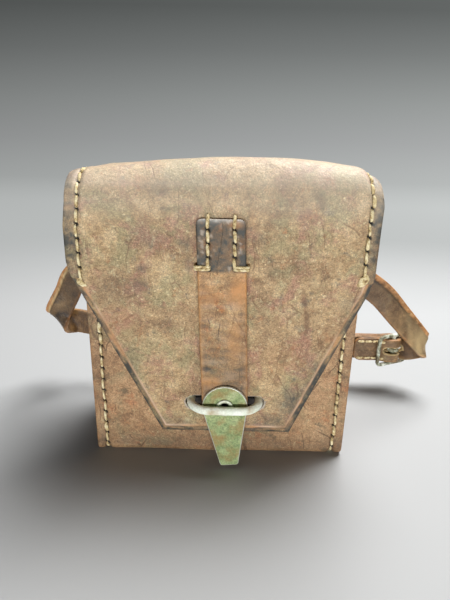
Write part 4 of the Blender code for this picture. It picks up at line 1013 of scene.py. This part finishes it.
# The heavy bars that end the strap's seams: two strands side by side, over the strap's edge
bar = {"z": 86.7 * mm, "strand": 0.52 * mm, "reach": 5.2 * mm, "gap": 0.3 * mm, "strapHalf": 9.1 * mm}
for side, word in ((-1, "left"), (1, "right")):
    edge = strapCentre(bar["z"]) + side * (bar["strapHalf"] + bar["gap"] + bar["strand"])
    front = strap["face"] - bar["strand"] - 0.05 * mm
    strands = []
    for lift in (bar["strand"], -bar["strand"]):
        # Each point: inwards from the edge, back from the front, and its share of the strand's height
        route = [(bar["reach"] + 0.3 * mm, 1.2 * mm, 0.8), (bar["reach"], 0.3 * mm, 0.9),
                 (bar["reach"] - 0.8 * mm, 0.0, 1.0)]
        route += [(a * mm, -0.03 * mm, 1.0 + 0.1 * math.sin(3 * a)) for a in (3.4, 2.4, 1.4)]
        route += [(0.7 * mm * (1 - math.sin(t)), 0.7 * mm * (1 - math.cos(t)), 1.0)
                  for t in (0.0, 0.5, 1.0, math.pi / 2)]
        route += [(0.0, -31.4 * mm - front, 1.0), (0.0, -30.0 * mm - front, 1.0)]
        path = [(edge - side * inwards, front + back, bar["z"] + lift * share)
                for inwards, back, share in route]
        strands.append(tube(path, bar["strand"], 10))
    barPiece = joinTubes(f"thread_bar_strands_{word}", strands, thread)
    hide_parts(f"thread_bar_{word}")
    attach(barPiece, "lid")
print("closing strap made")


# Tongue: pressed plate, a disc on the rivet with a tapered tail

tongue = {"radius": 9.2 * mm, "steel": 1.4 * mm, "length": 28.0 * mm, "tip": 4.0 * mm, "shoulder": 8.8 * mm,
          "back": -33.8 * mm, "tilt": 5.0, "edge": 0.45 * mm, "tipCorner": 1.2 * mm, "whole": 4.0 * mm}
begin = math.degrees(math.acos(tongue["shoulder"] / tongue["radius"]))
outline = arc((0.0, 0.0), tongue["radius"], -begin, 180 + begin, 64)
tipX, tipZ = tongue["tip"] - tongue["tipCorner"], -tongue["length"] + tongue["tipCorner"]
outline += arc((-tipX, tipZ), tongue["tipCorner"], 195, 270, 6)
outline += arc((tipX, tipZ), tongue["tipCorner"], 270, 345, 6)
outline, _ = resample(outline + [outline[0]], 0.5 * mm)
outline = outline[:-1]
tangent = np.roll(outline, -1, 0) - np.roll(outline, 1, 0)
inward = np.stack([-tangent[:, 1], tangent[:, 0]], 1)
inward /= np.linalg.norm(inward, axis=1, keepdims=True)
radius = tongue["edge"]
curve = [(radius * (1 - math.sin(math.radians(a))), radius * (1 - math.cos(math.radians(a))))
         for a in (0, 22.5, 45, 67.5, 90)]
stack = [(outline + inward * (radius + 0.25 * mm), -tongue["steel"])]
stack += [(outline + inward * inset, -tongue["steel"] + depth) for inset, depth in curve]
stack += [(outline + inward * inset, -depth) for inset, depth in curve[::-1]]
turn = Matrix.Translation((strap["rivetX"], tongue["back"], strap["rivetZ"]))
turn = turn @ Matrix.Rotation(math.radians(-tongue["tilt"]), 4, "Y")
verts, flat, marks = [], [], []
count = len(outline)
for k, (ring, level) in enumerate(stack):
    for px, pz in ring:
        verts.append(turn @ Vector((px, level, pz)))
        flat.append((px, pz, level))
        marks.append((1.0 if 2 <= k <= 9 else 0.0, 0.0, 0.0, 0.0))  # bare metal on the rounded edge
faces = ringFaces(count, len(stack))
faces += [list(range(count))[::-1], [(len(stack) - 1) * count + i for i in range(count)]]
tonguePiece = meshPiece("tongue_plate", verts, faces, tonguePaint, flat, marks)
faceOutward(tonguePiece)
cutThrough(tonguePiece, rivetCircle, tongue["back"] - 3 * mm, tongue["back"] + 1 * mm, (0.0, 0.0, 0.0, 0.0))
tonguePiece.data.set_sharp_from_angle(angle=math.radians(50))
wornPaint = tonguePiece.data.attributes["marks"].data
for vertex in tonguePiece.data.vertices:  # the paint is whole around the rivet
    if math.hypot(vertex.co.x - strap["rivetX"], vertex.co.z - strap["rivetZ"]) < tongue["whole"]:
        wornPaint[vertex.index].color = (0.0, 0.0, 0.0, 0.0)
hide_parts("tongue")
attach(tonguePiece, "tongue")

# Hollow rivet: a flat foot behind the strap and a rolled collar in front of the tongue. Its section is
# a ring of (radius, y) in millimetres, turned around the rivet's axis.
rivet = {"section": [(2.25, -31.0), (4.2, -31.0), (4.2, -31.5), (2.85, -31.5), (2.8, -35.5), (3.4, -35.5),
                     (3.6, -35.6), (3.6, -35.8), (3.45, -36.0), (3.1, -36.1), (2.7, -36.1), (2.4, -35.95),
                     (2.25, -35.7)], "around": 56, "collar": 7}
verts, flat, marks = [], [], []
around = rivet["around"]
for k, (radius, y) in enumerate(rivet["section"]):
    for i in range(around):
        angle = 2 * math.pi * i / around
        px, pz = radius * mm * math.cos(angle), radius * mm * math.sin(angle)
        verts.append((strap["rivetX"] + px, y * mm, strap["rivetZ"] + pz))
        flat.append((px, pz, y * mm))
        marks.append((0.7 if k >= rivet["collar"] else 0.1, 0.0, 0.0, 0.0))
rivetFaces = ringFaces(around, len(rivet["section"]), closed=True)
rivetPiece = meshPiece("hollow_rivet", verts, rivetFaces, tonguePaint, flat, marks)
rivetPiece.data.set_sharp_from_angle(angle=math.radians(50))
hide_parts("strap_eyelet")
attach(rivetPiece, "closing_strap")

# Staple: bent wire through the front, clenched behind a plate
staple = {"wire": 1.65 * mm, "half": 14.0 * mm, "bend": 8.0 * mm, "front": -37.95 * mm, "inside": -18.25 * mm,
          "clench": 7.0 * mm, "clenchBend": 2.06 * mm}
half = [(staple["half"] + staple["clench"], staple["inside"])]
half += arc((staple["half"] + staple["clenchBend"], staple["inside"] - staple["clenchBend"]),
            staple["clenchBend"], 90, 180, 6)
half += arc((staple["half"] - staple["bend"], staple["front"] + staple["bend"]), staple["bend"], 0, -90, 14)
path = [(strap["rivetX"] + x, y, strap["rivetZ"]) for x, y in half]
path += [(strap["rivetX"] - x, y, strap["rivetZ"]) for x, y in reversed(half)]
even, _ = resample(path, 0.7 * mm)
staplePiece = joinTubes("staple_wire", [tube(even, staple["wire"], 20, up=(0, 0, 1))], staplePaint)
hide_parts("bail")
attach(staplePiece, "case")
print("tongue, rivet and staple made")


# Carrying strap: a ring behind the case, through its loops, closed by the buckle. Its stations are
# (x, y, z) in millimetres, with the direction of the strap's width where it isn't upright.

carry = {"width": 13.4 * mm, "thickness": 2.4 * mm, "barX": 95.5, "barY": 38.0, "run": 23.8, "upper": 62.0,
         "near": 26.8, "fold": 2.6, "main": 40.6, "tail": 43.3, "short": 37.9, "taper": 12.0 * mm,
         "edge": 0.6 * mm, "endCorner": 4.0 * mm, "stitch": 4.0 * mm, "stitchStart": 1.6 * mm,
         "stitchLine": 4.9 * mm, "slotHalf": 6.0 * mm, "slotHigh": 2.1 * mm}
barX, barY, run, upper = carry["barX"], carry["barY"], carry["run"], carry["upper"]
near, main, tailY, short = carry["near"], carry["main"], carry["tail"], carry["short"]
stations = [(barX - away, short, run) for away in (22.0, 14.0, 8.0)]
stations += [(barX - 3.8, barY - carry["fold"] + 0.35, run)]
stations += [(a, b, run) for a, b in arc((barX, barY), carry["fold"], -90, 90, 6)]
stations += [
    (barX - 8.0, main, run), (barX - 22.0, main, run), (50.0, main, run),
    (20.0, main, run + 1.6, 0.04, 0.0, 1.0), (-20.0, main, run + 4.6, 0.07, 0.0, 1.0),
    (-55.0, main, run + 8.0, 0.05, 0.0, 1.0), (-70.0, main, run + 10.4, 0.02, 0.0, 1.0),
    (-80.4, main, run + 12.2), (-83.8, main - 0.9, run + 12.3, -0.10, 0.36, 0.93),
    (-86.7, main - 3.3, run + 13.0, -0.34, 0.58, 0.74), (-88.1, main - 6.5, run + 15.0, -0.64, 0.56, 0.52),
    (-88.0, main - 8.9, run + 18.0, -0.88, 0.33, 0.35), (-87.2, near + 4.2, upper - 17.0, -0.96, 0.0, 0.28),
    (-81.6, near + 3.8, upper - 7.0, -0.92, 0.1, 0.36), (-77.2, near + 3.2, upper + 1.6, -0.82, 0.1, 0.55),
    (-70.0, near + 2.2, upper + 6.6, -0.42, 0.05, 0.9), (-61.0, near + 1.1, upper + 5.4, 0.08, 0.0, 1.0),
    (-53.5, near + 0.4, upper + 1.8, 0.16, 0.0, 1.0), (-46.0, near, upper), (-20.0, near, upper),
    (20.0, near, upper), (46.0, near, upper), (57.0, near + 0.3, upper + 3.0, -0.08, 0.0, 1.0),
    (69.0, near + 0.8, upper + 4.0, 0.24, 0.0, 1.0), (81.0, near + 1.6, upper - 3.0, 0.58, 0.0, 0.8),
    (93.0, near + 2.4, upper - 15.2, 0.68, 0.26, 0.7), (107.0, near + 3.2, upper - 29.8, 0.68, 0.48, 0.6),
    (108.8, near + 4.2, run + 6.4, 0.3, 0.6, 0.76), (109.5, near + 6.4, run + 4.4, -0.1, 0.5, 0.9),
    (108.6, near + 8.8, run + 3.2, -0.25, 0.15, 0.97), (106.2, near + 10.4, run + 1.6, -0.15, 0.0, 1.0),
    (102.6, barY + 1.2, run + 0.1), (99.8, barY + 3.6, run), (barX, barY + 6.1, run),
    (barX - 7.5, tailY, run), (barX - 22.0, tailY, run), (50.0, tailY, run),
    (30.0, tailY, run + 1.0, 0.03, 0.0, 1.0)]
stationPoints = [np.array(s[:3]) * mm for s in stations]
stationWidths = [np.array(s[3:] or (0.0, 0.0, 1.0)) for s in stations]
stationWidths = [w / np.linalg.norm(w) for w in stationWidths]


def splinePoint(values, i, t):
    last = len(values) - 1
    a, b, c, d = (values[min(max(k, 0), last)] for k in (i - 1, i, i + 1, i + 2))
    cubic = (3 * b - a - 3 * c + d) * t ** 3
    return 0.5 * (2 * b + (c - a) * t + (2 * a - 5 * b + 4 * c - d) * t * t + cubic)


centres, widths = [], []
for i in range(len(stations) - 1):
    length = np.linalg.norm(stationPoints[i + 1] - stationPoints[i])
    steps = max(1, int(round(length / (1.1 * mm))))
    for k in range(steps):
        centres.append(splinePoint(stationPoints, i, k / steps))
        widths.append(splinePoint(stationWidths, i, k / steps))
centres, widths = np.array(centres + stationPoints[-1:]), np.array(widths + stationWidths[-1:])
carryPlaces = np.concatenate([[0.0], np.cumsum(np.linalg.norm(np.diff(centres, axis=0), axis=1))])
wanted = withEdges(list(np.arange(0.0, carryPlaces[-1], 1.1 * mm)) + [carryPlaces[-1]], carry["edge"])
centres = np.stack([np.interp(wanted, carryPlaces, centres[:, k]) for k in range(3)], 1)
widths = np.stack([np.interp(wanted, carryPlaces, widths[:, k]) for k in range(3)], 1)
directions = np.gradient(centres, axis=0)
directions /= np.linalg.norm(directions, axis=1, keepdims=True)
widths -= directions * np.einsum("ij,ij->i", widths, directions)[:, None]
widths /= np.linalg.norm(widths, axis=1, keepdims=True)
half = np.full(len(wanted), carry["width"] / 2)
half *= np.minimum(1.0, 0.3 + 0.7 * (wanted[-1] - wanted) / carry["taper"])
half -= roundOver(wanted, carry["endCorner"])
carryRim = np.array(edgeSteps(carry["edge"]) + [1.2 * mm, 2.0 * mm, 3.0 * mm, 4.2 * mm, 5.5 * mm])
left = -half[:, None] + carryRim[None, :] * (half / (carry["width"] / 2))[:, None]
x = np.concatenate([left, np.zeros((len(wanted), 1)), -left[:, ::-1]], 1)
middle = centres[:, None, :] + widths[:, None, :] * x[..., None]
facing = np.repeat(np.cross(directions, widths)[:, None, :], x.shape[1], 1)
along = spread(wanted, x)
points = middle + facing * carry["thickness"] / 2
edges = np.minimum(half[:, None] - np.abs(x), np.minimum(along, along[-1, 0] - along))
# The near runs' upper border is worn down to orange fibres, with a ragged, pale line where the grain ends
border = half[:, None] - x
ragged = 2.2 + 0.7 * softNoise(along, x * 0, 5 * mm, 3.0) + 0.5 * softNoise(along, x * 0, 1.6 * mm, 8.0)
ragged = ragged * mm  # how far the wear reaches in from the border
nearRun = ((centres[:, 1] < 33.5 * mm) & (np.abs(centres[:, 0]) > 56 * mm))[:, None]
worn = unit((ragged - border) / (0.35 * mm) + 0.5) * nearRun
fibres = softNoise(along, x, 1.5 * mm, 23.0)
streaks = softNoise(along + x, (along - x) * 0.25, 5 * mm, 27.0)
onLeft = (centres[:, 0] < 0)[:, None]
outward = nearRun * ~onLeft * (centres[:, 0])[:, None]
marks = np.zeros(points.shape[:2] + (4,))
marks[..., 0] = unit(np.exp(-edges / (0.6 * mm)) * (0.45 + fibres * 0.5) + worn * (0.75 + fibres * 0.6))
# The left near run is painted dark, painted shadow of the case over it; the right near run is darker towards
# the case and, in the alpha below, paler at its outer end
marks[..., 1] = unit(bump(border - ragged - 0.6 * mm, 0.5 * mm) * nearRun * ~onLeft * 0.8
                     + nearRun * onLeft * (1 - worn) * (0.7 - streaks * 0.9) + worn * unit(-fibres) * 0.6
                     + (1 - worn) * (outward > 0) * unit((92 * mm - outward) / (24 * mm)) * 0.75)
marks[..., 3] = unit(bump(border - ragged, 0.3 * mm) * nearRun * onLeft * 0.7 + worn * unit(fibres) * 0.6
                     + (1 - worn) * unit((outward - 90 * mm) / (16 * mm)) * (0.3 + streaks * 0.5))
points = points - facing * (worn * 0.5 * mm)[..., None]
carryGrid = (points.copy(), facing, x, along)
carryPiece = leatherSheet("carrying_strap_hide", points, carry["thickness"], x, along, edges, carryHide,
                          marks, carry["edge"])
slotOutline = stadium(barX * mm, run * mm, carry["slotHalf"], carry["slotHigh"])
cutThrough(carryPiece, slotOutline, 33.1 * mm, 48.1 * mm)  # through the fold, front to back
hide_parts("carrying_strap")
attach(carryPiece, "carrying_strap")
print("carrying strap made")

# Buckle: a wire frame turned 24 degrees out of the strap's line, with a bar across its middle
buckle = {"wire": 1.0 * mm, "half": 10.0 * mm, "halfHigh": 8.3 * mm, "corner": 2.6 * mm, "tilt": 24.0,
          "prong": 0.9 * mm, "past": 2.6 * mm, "ring": 2.3 * mm}
tilt = math.radians(buckle["tilt"])
alongBar = Vector((math.cos(tilt), math.sin(tilt), 0.0))
outOfFace = Vector((-math.sin(tilt), math.cos(tilt), 0.0))
centre = Vector((barX * mm, barY * mm, run * mm))
loop = []
flatHalf, flatHigh = buckle["half"] - buckle["corner"], buckle["halfHigh"] - buckle["corner"]
for sx, sz, begin in ((1, 1, 0), (-1, 1, 90), (-1, -1, 180), (1, -1, 270)):
    loop += arc((sx * flatHalf, sz * flatHigh), buckle["corner"], begin, begin + 90, 7)
ringPath = [centre + alongBar * a + Vector((0, 0, b)) for a, b in loop]
ringEven, _ = resample(ringPath + ringPath[:1], 0.8 * mm)
frameTube = tube([Vector(p) for p in ringEven[:-1]], buckle["wire"], 14, closed=True, up=outOfFace)
barPath = [centre + Vector((0, 0, h * buckle["halfHigh"])) for h in (-1, -0.5, 0, 0.5, 1)]
barTube = tube(barPath, buckle["wire"] * 0.97, 14)
bucklePiece = joinTubes("buckle_wire", [frameTube, barTube], bucklePaint)
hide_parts("buckle_frame")
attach(bucklePiece, "buckle")
prongPath = [centre + alongBar * (buckle["half"] + buckle["past"]) + outOfFace * buckle["ring"]]
prongPath += [centre + alongBar * d * mm + outOfFace * buckle["ring"] for d in (10.0, 7.0, 4.0, 1.5)]
prongPath += [centre + alongBar * a + outOfFace * b for a, b in arc((0, 0), buckle["ring"], 90, 325, 18)]
prongRadii = [buckle["prong"] * k for k in [0.55, 0.85] + [1.0] * (len(prongPath) - 2)]
prongPiece = joinTubes("prong_wire", [tube(prongPath, prongRadii, 12, up=(0, 0, 1))], bucklePaint)
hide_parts("buckle_prong")
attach(prongPiece, "prong")

carryThreads = []
for side in (-1, 1):
    for i in range(4):
        line, first = side * carry["stitchLine"], carry["stitchStart"] + carry["stitch"] * i
        carryThreads.append(stitch(carryGrid, (line, first), (line, first + carry["stitch"]),
                                   dice.uniform(1.0, 1.5) * mm))
carryStitches = joinTubes("fold_stitches", carryThreads, thread)
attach(carryStitches, "carrying_strap")
print("buckle made")

# The backing plate keeps its own shape: rolled mild steel, dulled grey-brown by tarnish
plateSteel, plateTree, plateShader = newMaterial("rolled mild steel plate, dull")
tarnish = addNode(plateTree, "ShaderNodeTexNoise", {"Scale": 1 / (5 * mm), "Detail": 6.0, "Roughness": 0.7},
                  {"Vector": addNode(plateTree, "ShaderNodeTexCoord", {}).outputs["Object"]})
plateTone = addNode(plateTree, "ShaderNodeValToRGB", {
    "stops": [(0.35, "#6d6253"), (0.5, "#8d8a80"), (0.7, "#a9a89f")]}, {"Fac": tarnish.outputs["Fac"]})
plateTree.links.new(plateTone.outputs["Color"], plateShader.inputs["Base Color"])
plateShader.inputs["Metallic"].default_value = 0.7
plateShader.inputs["Roughness"].default_value = 0.5
nodes["bail_plate"].data.materials.clear()
nodes["bail_plate"].data.materials.append(plateSteel)


# Camera at the photograph's place: 18.4 degrees down, 168 mm in front of the case

camera = {"place": (1.0 * mm, -193.4 * mm, 127.7 * mm), "down": 18.4, "roll": 1.2, "lens": 27.0}
view = bpy.data.cameras.new("photo view")
view.sensor_fit = "VERTICAL"
view.sensor_height = 36.0
view.sensor_width = 27.0
view.lens = camera["lens"]
view.clip_start = 5 * mm
cameraPiece = bpy.data.objects.new("photo view", view)
cameraPiece.matrix_world = (
    Matrix.Translation(camera["place"])
    @ Matrix.Rotation(math.radians(90 - camera["down"]), 4, "X")
    @ Matrix.Rotation(math.radians(camera["roll"]), 4, "Z"))
bpy.context.scene.collection.objects.link(cameraPiece)
bpy.context.scene.camera = cameraPiece

# Floor and backdrop: one sweep of pale grey painted board; further back it glows for the camera, darker
# towards its top and its left, a painted fall-off of the light
sweep = {"near": -0.6, "bend": 0.9, "radius": 0.8, "high": 2.2, "half": 3.0}
sweepLine = [(sweep["near"], 0.0), (-0.3, 0.0), (0.3, 0.0)]
sweepLine += [(y, z + sweep["radius"]) for y, z in arc((sweep["bend"], 0.0), sweep["radius"], 270, 360, 24)]
sweepLine += [(sweep["bend"] + sweep["radius"], sweep["high"])]
sweepVerts = [(x, y, z - 0.0002) for y, z in sweepLine for x in (-sweep["half"], sweep["half"])]
sweepFaces = [[2 * i, 2 * i + 1, 2 * i + 3, 2 * i + 2] for i in range(len(sweepLine) - 1)]
board, boardTree, boardShader = newMaterial("matt painted board")
spot = addNode(boardTree, "ShaderNodeSeparateXYZ", {}, {
    0: addNode(boardTree, "ShaderNodeTexCoord", {}).outputs["Object"]})
boardShader.inputs["Base Color"].default_value = linear("#b2b3b3")
boardShader.inputs["Roughness"].default_value = 0.9
# The far board's glow is painted shade: it darkens towards the top and towards the left
farTone = addNode(boardTree, "ShaderNodeValToRGB", {"stops": [
    (0.0, "#bec1c0"), (0.073, "#acafae"), (0.256, "#9d9f9f"), (0.468, "#8e9190"), (0.758, "#727574"),
    (1.0, "#5b5e5d")]})
sideways = addNode(boardTree, "ShaderNodeMapRange", {
    "From Min": -1.0, "From Max": 1.0, "To Min": 0.76, "To Max": 1.24}, {0: spot.outputs["X"]})
farGlow = addNode(boardTree, "ShaderNodeEmission", {}, {
    "Color": farTone.outputs["Color"], "Strength": sideways.outputs[0]})
rising = addNode(boardTree, "ShaderNodeMapRange", {"From Min": 0.0, "From Max": 0.62}, {0: spot.outputs["Z"]})
boardTree.links.new(rising.outputs[0], farTone.inputs["Fac"])
seen = addNode(boardTree, "ShaderNodeLightPath", {})
distance = addNode(boardTree, "ShaderNodeMapRange", {"From Min": 0.16, "From Max": 0.5}, {
    0: spot.outputs["Y"]})
glowShare = addNode(boardTree, "ShaderNodeMath", {"operation": "MULTIPLY"}, {
    0: seen.outputs["Is Camera Ray"], 1: distance.outputs[0]})
boardMix = addNode(boardTree, "ShaderNodeMixShader", {}, {
    0: glowShare.outputs[0], 1: boardShader.outputs[0], 2: farGlow.outputs[0]})
boardTree.links.new(boardMix.outputs[0], boardTree.nodes["Material Output"].inputs["Surface"])
sweepPiece = meshPiece("sweep", sweepVerts, sweepFaces, board)

# Soft studio light: a wide panel above, a little behind and to the right, and a low, weak strip in front


def softPanel(name, place, target, size, power):
    light = bpy.data.lights.new(name, "AREA")
    light.shape = "RECTANGLE"
    light.size, light.size_y = size
    light.energy = power
    lamp = bpy.data.objects.new(name, light)
    aim = (Vector(target) - Vector(place)).to_track_quat("-Z", "Y")
    lamp.matrix_world = Matrix.Translation(place) @ aim.to_matrix().to_4x4()
    bpy.context.scene.collection.objects.link(lamp)


softPanel("top panel", (0.24, 0.28, 0.84), (0.0, 0.0, 0.05), (0.5, 0.5), 15.4)
softPanel("front panel", (0.0, -1.0, 0.035), (0.0, 0.0, 0.07), (0.9, 0.055), 8.7)
world = bpy.data.worlds.new("soft room")
bpy.context.scene.world = world
world.use_nodes = True
room = world.node_tree.nodes["Background"]
room.inputs["Color"].default_value = linear("#f2f4f6")
looking = addNode(world.node_tree, "ShaderNodeMapRange", {"To Min": 0.04, "To Max": 0.4}, {
    0: addNode(world.node_tree, "ShaderNodeLightPath", {}).outputs["Is Camera Ray"]})
world.node_tree.links.new(looking.outputs[0], room.inputs["Strength"])
bpy.context.scene.view_settings.view_transform = "Standard"
print("camera, sweep and lights made")
